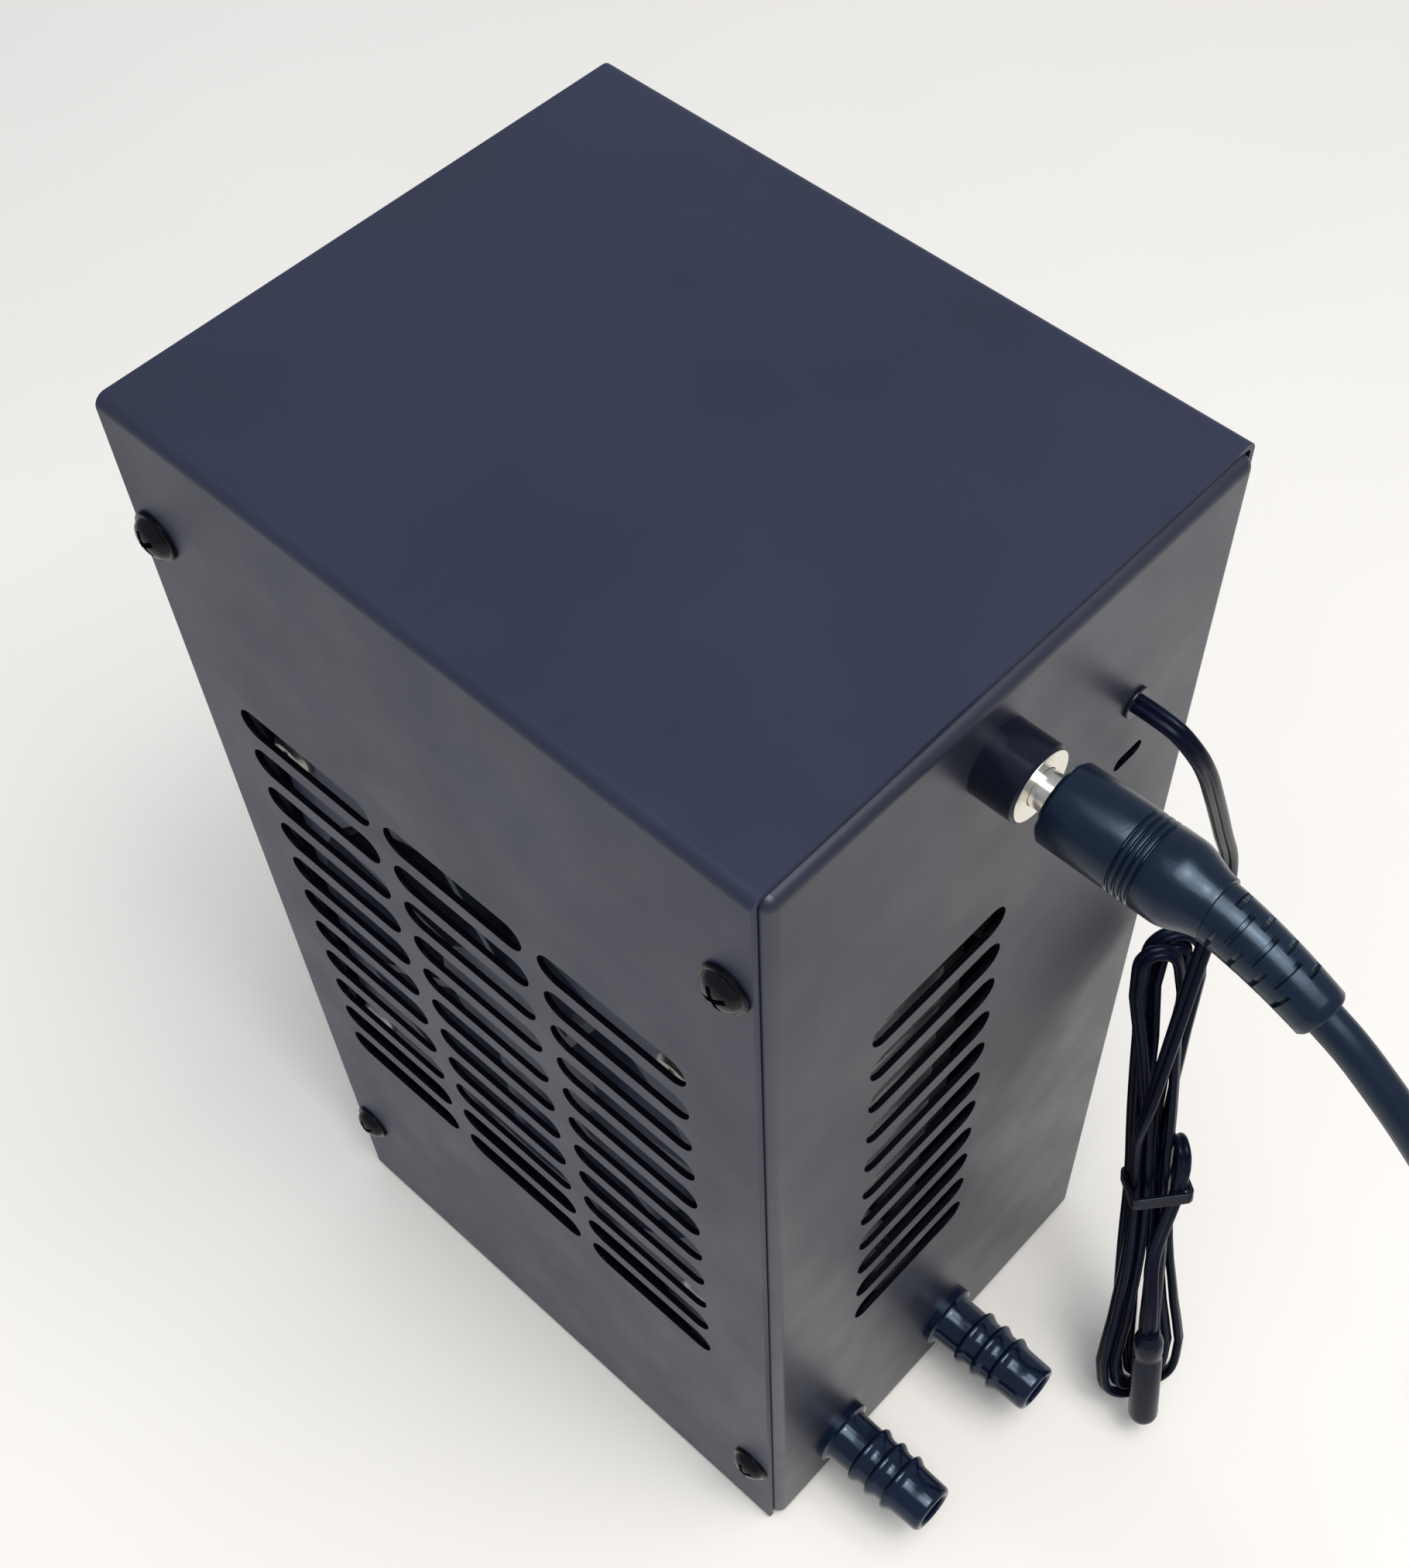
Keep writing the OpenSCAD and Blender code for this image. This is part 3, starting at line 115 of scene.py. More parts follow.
class ChillerView(bpy.types.PropertyGroup):
    """The camera that looks down on the chiller's corner."""

    place: bpy.props.FloatVectorProperty(
        name="Place", description="Where the camera stands",
        subtype="TRANSLATION", unit="LENGTH", size=3, default=(-0.13664, -0.14503, 0.42522))
    right: bpy.props.FloatVectorProperty(
        name="Right", description="The camera's right",
        subtype="DIRECTION", size=3, default=(0.669983, -0.742376, 0.001028))
    up: bpy.props.FloatVectorProperty(
        name="Up", description="The camera's up",
        subtype="DIRECTION", size=3, default=(0.617445, 0.558002, 0.554432))
    lens: bpy.props.FloatProperty(
        name="Lens", description="Focal length in millimetres on a 36 mm sensor",
        min=10, default=48.314)
    shift: bpy.props.FloatVectorProperty(
        name="Shift", description="Shift of the frame, in shares of its longer side",
        size=2, default=(-0.0587, 0.0471))


# Finishes

PAINT_TINT = (0.80, 0.86, 1.0)
GLOSS_TINT = (0.60, 0.78, 1.0)
# Painted shade: the dark tone given to the walls of the sheets' holes and cut edges.
RIM_SHADE_TONE = (0.002, 0.002, 0.004, 1.0)
MIX_A, MIX_B, MIX_OUT = 6, 7, 2
CLOUD_LOW, CLOUD_HIGH = 0.3, 0.7
PATCH_RATE, COAT_ROUGHNESS = 2.3, 0.12
# The sheets' specular level, and the lower level of their hole walls, where the painted shade also
# takes the reflections away.
SHEEN, RIM_SHEEN = 0.5, 0.06
FINISHES = {}


def noise(tree, coords, scale, detail=3.0, stretch=None):
    """A cloud of values about a half, stretched along an axis where asked."""
    if stretch:
        mapping = tree.nodes.new("ShaderNodeMapping")
        mapping.inputs["Scale"].default_value = stretch
        tree.links.new(coords, mapping.inputs["Vector"])
        coords = mapping.outputs["Vector"]
    node = tree.nodes.new("ShaderNodeTexNoise")
    node.inputs["Scale"].default_value = scale
    node.inputs["Detail"].default_value = detail
    tree.links.new(coords, node.inputs["Vector"])
    return node.outputs["Fac"]


def between(tree, fac, low, high):
    """The cloud's middle range taken to the range from low to high."""
    node = tree.nodes.new("ShaderNodeMapRange")
    sockets = ("From Min", "From Max", "To Min", "To Max")
    for name, value in zip(sockets, (CLOUD_LOW, CLOUD_HIGH, low, high)):
        node.inputs[name].default_value = value
    tree.links.new(fac, node.inputs["Value"])
    return node.outputs["Result"]


def tones(tree, fac, low, high):
    """A ramp from one tone to another over the cloud's middle range."""
    node = tree.nodes.new("ShaderNodeValToRGB")
    for element, place, tone in zip(
            node.color_ramp.elements, (CLOUD_LOW, CLOUD_HIGH), (low, high)):
        element.position = place
        element.color = (*tone, 1.0)
    tree.links.new(fac, node.inputs["Fac"])
    return node.outputs["Color"]


def surface(name, tone, swing=0.12, cloud=45, gloss=(0.35, 0.45), grain=1500, relief=1.5e-5,
            metal=0.0, ior=1.5, coat=0.0, stretch=None, tint=None, shaded_rim_walls=False):
    """A finish: its tone drifts in clouds, and its gloss and grain follow finer noise.

    gloss is the range of its roughness, and relief the height of its grain in metres.
    """
    material = bpy.data.materials.new(name)
    material.use_nodes = True
    tree = material.node_tree
    shader = tree.nodes["Principled BSDF"]
    coords = tree.nodes.new("ShaderNodeTexCoord").outputs["Object"]
    dark = [c * (1 - swing) for c in tone]
    light = [min(1.0, c * (1 + swing)) for c in tone]
    colour = tones(tree, noise(tree, coords, cloud), dark, light)
    # Painted shade on the marked walls of a sheet's holes.
    if shaded_rim_walls:
        colour = painted_rim_shade(tree, shader, colour)
    tree.links.new(colour, shader.inputs["Base Color"])
    if tint:
        shader.inputs["Specular Tint"].default_value = (*tint, 1.0)
    patches = noise(tree, coords, cloud * PATCH_RATE, 4.0)
    tree.links.new(between(tree, patches, *gloss), shader.inputs["Roughness"])
    shader.inputs["Metallic"].default_value = metal
    shader.inputs["IOR"].default_value = ior
    shader.inputs["Coat Weight"].default_value = coat
    shader.inputs["Coat Roughness"].default_value = COAT_ROUGHNESS
    if relief:
        bump = tree.nodes.new("ShaderNodeBump")
        bump.inputs["Distance"].default_value = relief
        tree.links.new(noise(tree, coords, grain, 2.0, stretch), bump.inputs["Height"])
        tree.links.new(bump.outputs["Normal"], shader.inputs["Normal"])
    return material


def painted_rim_shade(tree, shader, colour):
    """Paints shade on the thin walls of a sheet's holes, which the piece marks with an attribute:
    they turn dark and lose most of their sheen.
    """
    rim = tree.nodes.new("ShaderNodeAttribute")
    rim.attribute_name = "rim"
    mix = tree.nodes.new("ShaderNodeMix")
    mix.data_type = "RGBA"
    tree.links.new(rim.outputs["Fac"], mix.inputs["Factor"])
    tree.links.new(colour, mix.inputs[MIX_A])
    mix.inputs[MIX_B].default_value = RIM_SHADE_TONE
    level = tree.nodes.new("ShaderNodeMapRange")
    level.inputs["To Min"].default_value = SHEEN
    level.inputs["To Max"].default_value = RIM_SHEEN
    tree.links.new(rim.outputs["Fac"], level.inputs["Value"])
    tree.links.new(level.outputs["Result"], shader.inputs["Specular IOR Level"])
    return mix.outputs[MIX_OUT]


# Each slot's finish: its name, its tone or the setting that holds it, and its ways.
FINISH_TABLE = {
    # Both paints darken the walls of their sheets' holes with painted shade.
    "top_paint": ("powder_coat_navy", "paint", dict(
        swing=0.10, cloud=30, gloss=(0.40, 0.48), grain=1900, relief=1.1e-5, ior=1.38,
        tint=PAINT_TINT, shaded_rim_walls=True)),
    "side_paint": ("powder_coat_grey", (0.015, 0.016, 0.027), dict(
        swing=0.10, cloud=30, gloss=(0.34, 0.42), grain=1900, relief=1.1e-5, ior=1.48,
        tint=PAINT_TINT, shaded_rim_walls=True)),
    "dark_steel": ("blackened_steel", (0.004, 0.004, 0.006), dict(
        swing=0.2, cloud=300, gloss=(0.12, 0.2), grain=2500, relief=1e-5, ior=1.26)),
    "rubber": ("foot_rubber", (0.016, 0.016, 0.017), dict(
        swing=0.2, cloud=120, gloss=(0.6, 0.75), grain=2200, relief=3e-5)),
    "black_gloss": ("gloss_moulding", "moulding", dict(
        swing=0.15, cloud=90, gloss=(0.16, 0.24), grain=900, relief=5e-6, ior=1.34,
        tint=PAINT_TINT)),
    "nickel": ("nickel_plate", "nickel", dict(
        swing=0.06, cloud=260, gloss=(0.12, 0.24), grain=3200, relief=4e-6, metal=1.0,
        stretch=(1, 0.1, 1))),
    "barb_plastic": ("barb_nylon", (0.003, 0.006, 0.018), dict(
        swing=0.2, cloud=110, gloss=(0.12, 0.18), grain=700, relief=8e-6, ior=1.46,
        tint=GLOSS_TINT)),
    "black_plastic": ("matt_moulding", (0.055, 0.066, 0.105), dict(
        swing=0.15, cloud=90, gloss=(0.42, 0.55), grain=2600, relief=2e-5)),
    "silicone": ("silicone_hose", (0.62, 0.66, 0.66), dict(
        swing=0.06, cloud=70, gloss=(0.3, 0.42), grain=900, relief=1e-5)),
    "steel": ("zinc_plate", (0.34, 0.34, 0.33), dict(
        swing=0.12, cloud=160, gloss=(0.38, 0.5), grain=2200, relief=8e-6, metal=1.0)),
    "copper": ("copper_winding", (0.72, 0.36, 0.16), dict(
        swing=0.1, cloud=200, gloss=(0.25, 0.35), grain=900, relief=6e-5, metal=1.0,
        stretch=(5, 0.6, 0.6))),
    "aluminium": ("extruded_aluminium", (0.72, 0.73, 0.74), dict(
        swing=0.06, cloud=60, gloss=(0.3, 0.44), grain=1800, relief=8e-6, metal=1.0,
        stretch=(1, 1, 0.05))),
    "ceramic": ("ceramic_plate", (0.82, 0.81, 0.77), dict(
        swing=0.04, cloud=200, gloss=(0.4, 0.5), grain=2600, relief=8e-6)),
    "digit_red": ("red_digits", (0.55, 0.012, 0.008), dict(
        swing=0.05, cloud=200, gloss=(0.2, 0.3), grain=900, relief=1e-6)),
    "foam": ("closed_foam", (0.03, 0.03, 0.032), dict(
        swing=0.3, cloud=420, gloss=(0.8, 0.92), grain=1500, relief=1.2e-4)),
    "board": ("solder_mask", (0.02, 0.13, 0.05), dict(
        swing=0.18, cloud=240, gloss=(0.2, 0.3), grain=1500, relief=8e-6)),
    "lens": ("smoked_lens", (0.012, 0.005, 0.006), dict(
        swing=0.1, cloud=60, gloss=(0.04, 0.08), grain=300, relief=1e-6, coat=0.6)),
    "button_grey": ("button_grey", (0.22, 0.22, 0.23), dict(
        swing=0.08, cloud=260, gloss=(0.4, 0.52), grain=2600, relief=1.4e-5)),
    "relay_blue": ("relay_blue", (0.01, 0.06, 0.32), dict(
        swing=0.08, cloud=120, gloss=(0.2, 0.3), grain=1200, relief=6e-6)),
    "terminal_green": ("terminal_green", (0.03, 0.26, 0.08), dict(
        swing=0.1, cloud=150, gloss=(0.35, 0.45), grain=1800, relief=1e-5)),
    "wire_red": ("red_insulation", (0.42, 0.015, 0.012), dict(
        swing=0.1, cloud=120, gloss=(0.26, 0.36), grain=1200, relief=6e-6)),
    "wire_black": ("black_insulation", (0.015, 0.015, 0.016), dict(
        swing=0.15, cloud=120, gloss=(0.26, 0.36), grain=1200, relief=6e-6)),
    "cord_black": ("cord_jacket", (0.003, 0.0036, 0.011), dict(
        swing=0.25, cloud=70, gloss=(0.20, 0.28), grain=500, relief=6e-6, ior=1.2,
        tint=GLOSS_TINT)),
    "plug_black": ("plug_vinyl", "jacket", dict(
        swing=0.18, cloud=90, gloss=(0.22, 0.28), grain=1600, relief=1.2e-5, ior=1.46,
        tint=GLOSS_TINT)),
    "lead_black": ("lead_jacket", "jacket", dict(
        swing=0.22, cloud=60, gloss=(0.24, 0.32), grain=420, relief=1.2e-5, ior=1.46,
        tint=GLOSS_TINT)),
}


def finish_of(slot):
    """The finish of a material slot, made when it is first asked for."""
    if slot not in FINISHES:
        name, tone, ways = FINISH_TABLE[slot]
        if isinstance(tone, str):
            tone = getattr(bpy.context.scene.chiller_finishes, tone)
        FINISHES[slot] = surface(name, tone, **ways)
    return FINISHES[slot]


# Mesh tools

MERGE = 1e-6
FACET = math.radians(0.5)
WALL_DEPTH, WALL_TURN = 0.0012, 0.8


def ease(bm, width, segments=2, above=28):
    """Rounds the edges whose faces turn by more than the angle."""
    sharp = [e for e in bm.edges if e.calc_face_angle(0.0) > math.radians(above)]
    if width and sharp:
        bmesh.ops.bevel(
            bm, geom=sharp, offset=width, offset_type="OFFSET", segments=segments, profile=0.5,
            affect="EDGES", clamp_overlap=True, material=-1)


def turned(outline, steps=56, width=0.0, closed=False, segments=2):
    """A shape turned on a lathe about Z, from pairs of height and radius."""
    bm = bmesh.new()
    verts = [bm.verts.new((r, 0.0, z)) for z, r in outline]
    pairs = list(zip(verts, verts[1:])) + ([(verts[-1], verts[0])] if closed else [])
    edges = [bm.edges.new(pair) for pair in pairs]
    bmesh.ops.spin(
        bm, geom=verts + edges, cent=(0, 0, 0), axis=(0, 0, 1), angle=math.tau, steps=steps,
        use_merge=True)
    bmesh.ops.remove_doubles(bm, verts=bm.verts, dist=MERGE)
    bmesh.ops.recalc_face_normals(bm, faces=bm.faces)
    ease(bm, width, segments)
    return bm


def joined(*parts):
    """One mesh of several, whose own meshes are used up."""
    whole = bmesh.new()
    for bm in parts:
        mesh = bpy.data.meshes.new("joined")
        bm.to_mesh(mesh)
        bm.free()
        whole.from_mesh(mesh)
        bpy.data.meshes.remove(mesh)
    return whole


def moved(bm, matrix):
    """Takes a mesh to its place, with its faces kept outward where the place mirrors it."""
    bmesh.ops.transform(bm, matrix=matrix, verts=bm.verts)
    if matrix.determinant() < 0:
        bmesh.ops.reverse_faces(bm, faces=bm.faces)
    return bm


def facing_front(x, z, y=FRONT):
    """Z leads out of the front panel from a point on it."""
    return Matrix.Translation((x, y, z)) @ Matrix.Rotation(math.pi / 2, 4, "X")


def cut(bm, tool):
    """What the tool leaves of a closed shape."""
    objects = []
    for shape in (bm, tool):
        mesh = bpy.data.meshes.new("cutting")
        shape.to_mesh(mesh)
        shape.free()
        objects.append(bpy.data.objects.new("cutting", mesh))
        bpy.context.scene.collection.objects.link(objects[-1])
    boolean = objects[0].modifiers.new("cut", "BOOLEAN")
    boolean.object = objects[1]
    boolean.solver = "EXACT"
    bpy.context.view_layer.update()
    seen = objects[0].evaluated_get(bpy.context.evaluated_depsgraph_get())
    result = bmesh.new()
    result.from_mesh(seen.to_mesh())
    seen.to_mesh_clear()
    for obj in objects:
        mesh = obj.data
        bpy.data.objects.remove(obj)
        bpy.data.meshes.remove(mesh)
    return result


def placing(point, along, side):
    """A place on a path: Z runs along it and X to the side."""
    along = along.normalized()
    across = along.cross(side).normalized()
    side = across.cross(along)
    rows = [[side[i], across[i], along[i], point[i]] for i in range(3)]
    return Matrix(rows + [[0, 0, 0, 1]])


def placings(points, sides):
    """Places along the points, each turned to its neighbours and to its own side."""
    last = len(points) - 1
    return [
        placing(p, points[min(i + 1, last)] - points[max(i - 1, 0)], sides[i])
        for i, p in enumerate(points)
    ]


def swept(ring, places, shape=None):
    """Draws a closed outline through places on a path and closes its ends.

    shape gives a point's share of its distance from the path, from the place's number
    and the point's angle.
    """
    bm = bmesh.new()
    verts = [bm.verts.new(places[0] @ Vector((x, y, 0))) for x, y in ring]
    edges = [bm.edges.new(pair) for pair in zip(verts, verts[1:] + verts[:1])]
    rings = [verts]
    for old, new in zip(places, places[1:]):
        grown = bmesh.ops.extrude_edge_only(bm, edges=edges)["geom"]
        verts = [g for g in grown if isinstance(g, bmesh.types.BMVert)]
        ends = set(verts)
        edges = [
            g for g in grown
            if isinstance(g, bmesh.types.BMEdge) and g.verts[0] in ends and g.verts[1] in ends
        ]
        bmesh.ops.transform(bm, matrix=new @ old.inverted(), verts=verts)
        rings.append(verts)
    if shape:
        for i, (verts, place) in enumerate(zip(rings, places)):
            back = place.inverted()
            for v in verts:
                own = back @ v.co
                share = shape(i, math.atan2(own.y, own.x))
                v.co = place @ Vector((own.x * share, own.y * share, own.z))
    bmesh.ops.holes_fill(bm, edges=[e for e in bm.edges if e.is_boundary])
    bmesh.ops.recalc_face_normals(bm, faces=bm.faces)
    return bm


def smoothed(points, parts):
    """A smooth line through the points, with so many parts to each step."""
    points = [Vector(p) for p in points]
    steps = [b - a for a, b in zip(points, points[1:])]
    slopes = [steps[0].normalized()]
    for before, after in zip(steps, steps[1:]):
        a, b = before.length, after.length
        slopes.append((before * (b / a) + after * (a / b)) / (a + b))
    slopes.append(steps[-1].normalized())
    line = []
    for p, step, start, end in zip(points, steps, slopes, slopes[1:]):
        for k in range(parts):
            t = k / parts
            bend = start * t * (1 - t) ** 2 - end * t * t * (1 - t)
            line.append(p + step * t * t * (3 - 2 * t) + bend * step.length)
    return line + [points[-1]]


def turned_along(sides, parts):
    """The ways between the places, with so many parts to each step."""
    ways = [a.lerp(b, k / parts) for a, b in zip(sides, sides[1:]) for k in range(parts)]
    return [v.normalized() for v in ways + [sides[-1]]]


def piece(bm, name, slot, body, *nodes, sharp=32, flats=False):
    """Makes an object of a finished mesh, with its finish, its body and the nodes it replaces.

    flats keeps broad faces evenly lit up to their rounded edges.
    """
    mesh = bpy.data.meshes.new(name)
    bm.to_mesh(mesh)
    bm.free()
    mesh.polygons.foreach_set("use_smooth", [True] * len(mesh.polygons))
    mesh.set_sharp_from_angle(angle=math.radians(sharp))
    mesh.materials.append(finish_of(slot))
    obj = bpy.data.objects.new(name, mesh)
    bpy.context.scene.collection.objects.link(obj)
    if flats:
        weighted = obj.modifiers.new("flats", "WEIGHTED_NORMAL")
        weighted.weight = 100
        weighted.keep_sharp = True
    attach(obj, body)
    if nodes:
        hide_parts(*nodes)
    return obj


def mark_shaded_rims(bm, axis, outside, low, high):
    """Marks the walls of the holes in a sheet, whose faces lie across its thickness, for painted
    shade.

    outside is the place of the sheet's face on the axis, and low and high bound the holes.
    """
    layer = bm.faces.layers.float.get("rim") or bm.faces.layers.float.new("rim")
    for face in bm.faces:
        at = face.calc_center_median()
        inside = all(low[i] < at[i] < high[i] for i in range(3) if i != axis)
        deep = 0 <= abs(outside) - at[axis] * math.copysign(1, outside) < WALL_DEPTH
        if inside and deep and abs(face.normal[axis]) < WALL_TURN:
            face[layer] = 1.0


def eased(node, width=0.0, segments=2, name=None, shaded_rim_walls=()):
    """A node's own shape with its triangles joined, its curves smooth and its edges rounded."""
    bm = bmesh.new()
    bm.from_mesh(frame["nodes"][node].data)
    bmesh.ops.remove_doubles(bm, verts=bm.verts, dist=MERGE)
    bmesh.ops.dissolve_limit(
        bm, angle_limit=FACET, use_dissolve_boundaries=False, verts=bm.verts,
        edges=bm.edges, delimit=set())
    ease(bm, width, segments)
    # The walls of the holes are marked for painted shade where asked.
    for rim in shaded_rim_walls:
        mark_shaded_rims(bm, *rim)
    name = name or node.replace("_", "-")
    return piece(bm, name, SLOT_OF[node], BODY_OF[node], node, flats=True)


def dressed(shares, width):
    """Eases each node of the table by its share of the width."""
    for node, share in shares:
        eased(node, width * share)


def middle(node):
    """The middle of a node's box."""
    low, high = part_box(node)
    return [(a + b) / 2 for a, b in zip(low, high)]


# Routes of the cords, in metres

LEAD_X = -0.0052
LEAD_D = 0.005
LEAD_ROUTE = [
    (-0.1190, 0.2045), (-0.1242, 0.2005), (-0.1310, 0.1942), (-0.1380, 0.1865), (-0.1444, 0.1775),
    (-0.1498, 0.1670), (-0.1540, 0.1550), (-0.1570, 0.1420), (-0.1590, 0.1290), (-0.1604, 0.1160),
    (-0.1618, 0.1030), (-0.1634, 0.0900), (-0.1654, 0.0770), (-0.1682, 0.0640), (-0.1720, 0.0515),
    (-0.1772, 0.0400), (-0.1838, 0.0300), (-0.1912, 0.0215), (-0.1980, 0.0144), (-0.2032, 0.0098),
    (-0.2072, 0.0080),
]
COIL_Y, COIL_IN, COIL_STEP, COIL_LOW = -0.215, 0.021, 0.0055, 0.0025
TURNS_IN, TURNS_OUT, COIL_RINGS = 2.5, 3, 24
COIL_X = LEAD_X + COIL_IN + COIL_STEP * TURNS_IN
COIL_START = (LEAD_X, COIL_Y + LEAD_D, COIL_LOW + COIL_STEP)
COIL_END, SOCKET_D = 0.026, 0.011

PROBE_W, PROBE_T = 0.0026, 0.0014
JACKET_W, JACKET_T = 0.0030, 0.00175
PROBE_ROUTE = [
    (0.0275, -0.0635, 0.1957), (0.0278, -0.0672, 0.1949), (0.0286, -0.0702, 0.1920),
    (0.0310, -0.0716, 0.1861), (0.0342, -0.0720, 0.1782), (0.0381, -0.0720, 0.1690),
    (0.0424, -0.0720, 0.1586), (0.0469, -0.0720, 0.1480), (0.0493, -0.0720, 0.1385),
    (0.0491, -0.0723, 0.1295), (0.0461, -0.0729, 0.1207), (0.0425, -0.0741, 0.1120),
    (0.0390, -0.0753, 0.1028), (0.0357, -0.0764, 0.0941), (0.0329, -0.0773, 0.0865),
    (0.0317, -0.0774, 0.0803), (0.0318, -0.0775, 0.0749),
]
HANK_LEAN, HANK_WAY = math.radians(20), math.radians(50)
HANK_MID, HANK_RUN, HANK_TURNS, HANK_BACK = 0.065, 0.107, 3.5, 1.5
HANK_IN, HANK_STEP, WAIST_IN, WAIST_STEP, HANK_LAYER = 0.0016, 0.0026, 0.0005, 0.0019, 0.0031
HANK_SHIFT, HANK_TILT = 0.0021, math.radians(28)
HANK_RINGS = 24
FOLD_UP, FOLD_OUT, CORD_GAP, TURN_SHARE = 0.008, 0.0005, 0.0005, 1.4
CAPSULE_D, CAPSULE_L, TIP_LOW = 0.006, 0.026, 0.0035
HANK = (
    Matrix.Translation((0.0192, -0.0986, (HANK_LAYER + PROBE_W) / 2 * math.sin(HANK_LEAN)))
    @ Matrix.Rotation(HANK_WAY, 4, "Z") @ Matrix.Rotation(HANK_LEAN, 4, "Y"))
FOLD_Y = WAIST_IN + WAIST_STEP * (HANK_TURNS - HANK_BACK) + FOLD_OUT
FRONT_X = HANK_LAYER / 2 + PROBE_W / 2 + CORD_GAP + PROBE_T / 2
TIP_X = HANK_LAYER / 2 + PROBE_W / 2 + CORD_GAP + CAPSULE_D / 2
TWIST_FROM, TWIST_OVER = 10, 7
FOLD_STEPS, DROP_STEPS = 4, 9
# The free part of the sensor cord turns its broad side to this point.
CORD_FACES = Vector((-0.137, -0.145, 0.425))


def eased_step(t):
    """A smooth step from 0 to 1, level at both ends."""
    t = min(max(t, 0.0), 1.0)
    return t * t * (3 - 2 * t)


def coil_point(t):
    """One point of the coil after t turns, winding in on top and out below."""
    r = COIL_IN + COIL_STEP * abs(t - TURNS_IN)
    a = math.pi + math.tau * t
    rise = COIL_STEP * (1 - eased_step((t - TURNS_IN) * 2 + 0.5))
    return Vector((COIL_X + r * math.cos(a), COIL_Y + r * math.sin(a), COIL_LOW + rise))


def hank_half(k, share):
    """Half the width of the loop k turns from the middle, from its waist to its fullest place."""
    spread = math.sin(math.pi / 2 * share) ** 2
    return (WAIST_IN + WAIST_STEP * k
            + (HANK_IN + (HANK_STEP - WAIST_STEP) * k - WAIST_IN) * spread)


def hank_point(t):
    """One point of the hank after t turns, which start at the left of the waist and go down.

    The eighths of a turn beside 0 and beside a half run along the two legs, and the quarters
    between them go round the ends. The front layer spreads to the left of the waist and the
    layer behind it to the right.
    """
    u = t - math.floor(t)
    k = abs(t - HANK_BACK)
    layer = 2 * eased_step((t - HANK_BACK) * 10 + 0.5) - 1
    spread = min(1, 8 * min(u, abs(u - 1 / 2), 1 - u))
    aside = -layer * HANK_SHIFT * math.sin(math.pi / 2 * spread) ** 4
    x, half, long = HANK_LAYER / 2 * layer, hank_half(k, spread), HANK_RUN / 2
    if u < 1 / 8 or u >= 7 / 8:
        return Vector((x, aside + half, HANK_MID + long * spread * (1 if u > 1 / 2 else -1)))
    if abs(u - 1 / 2) < 1 / 8:
        return Vector((x, aside - half, HANK_MID + long * (u - 1 / 2) * 8))
    down = 1 if u < 1 / 2 else -1
    a = (u - (1 / 8 if down > 0 else 5 / 8)) * 4 * math.pi
    height = HANK_MID - down * (long + half * math.sin(a))
    return Vector((x, aside + down * half * math.cos(a), height))


def free_part(way):
    """Points of the sensor cord before its hank, with the way its width lies.

    It turns its broad side up and twists to the way of the hank.
    """
    first = Vector((PROBE_ROUTE[0][0], FRONT, PROBE_ROUTE[0][2]))
    points = [first] + [Vector(p) for p in PROBE_ROUTE]
    sides, last = [], way
    for i in reversed(range(len(points))):
        along = points[min(i + 1, len(points) - 1)] - points[max(i - 1, 0)]
        open_side = along.cross(CORD_FACES - points[i]).normalized()
        last = open_side if open_side.dot(last) > 0 else -open_side
        sides.insert(0, last.lerp(way, eased_step((i - TWIST_FROM) / TWIST_OVER)))
    return points, sides


def looped_part():
    """Points of the hank in its own frame, its width tilted so that the loops lie close."""
    points, sides = [], []
    for i in range(int(HANK_TURNS * HANK_RINGS) + 1):
        t = i / HANK_RINGS
        along = (hank_point(t + 0.01) - hank_point(t - 0.01)).normalized()
        tilt = HANK_TILT * eased_step(min(t, HANK_TURNS - t) * 8)
        points.append(hank_point(t))
        sides.append((math.cos(tilt), -along.z * math.sin(tilt), along.y * math.sin(tilt)))
    return points, sides


def last_part():
    """Points from the last loop over the tie and down to the capsule, in the hank's frame."""
    points, sides = [], []
    for i in range(1, FOLD_STEPS + 1):
        s = eased_step(i / FOLD_STEPS)
        height = HANK_MID + FOLD_UP * i / FOLD_STEPS
        points.append((HANK_LAYER / 2, -FOLD_Y - FOLD_OUT * s + FOLD_OUT, height))
        sides.append((math.cos(math.pi / 2 * s), math.sin(math.pi / 2 * s), 0))
    r = (HANK_LAYER / 2 + FRONT_X) / 2
    for a in range(30, 181, 30):
        a = math.radians(a)
        height = HANK_MID + FOLD_UP + r * math.sin(a)
        points.append((HANK_LAYER / 2 - r + r * math.cos(a), -FOLD_Y, height))
        sides.append((0, 1, 0))
    drop = HANK_MID + FOLD_UP - TIP_LOW - CAPSULE_L - PROBE_W
    for i in range(1, DROP_STEPS + 1):
        s = i / DROP_STEPS
        points.append((
            -FRONT_X - (TIP_X - FRONT_X) * eased_step(2 * s - 1),
            -FOLD_Y * (1 - eased_step(s * TURN_SHARE)),
            HANK_MID + FOLD_UP - drop * s))
        sides.append((0, 1, 0))
    points.append((-TIP_X, 0, TIP_LOW + CAPSULE_L))
    sides.append((0, 1, 0))
    return points, sides


def sensor_route():
    """Points of the sensor cord from its hole to its capsule, with the way its width lies."""
    points, sides = free_part((HANK.to_3x3() @ Vector((1, 0, 0))).normalized())
    for own, turns in (looped_part(), last_part()):
        points += [HANK @ Vector(p) for p in own]
        sides += [HANK.to_3x3() @ Vector(t) for t in turns]
    return points, sides


# Pieces

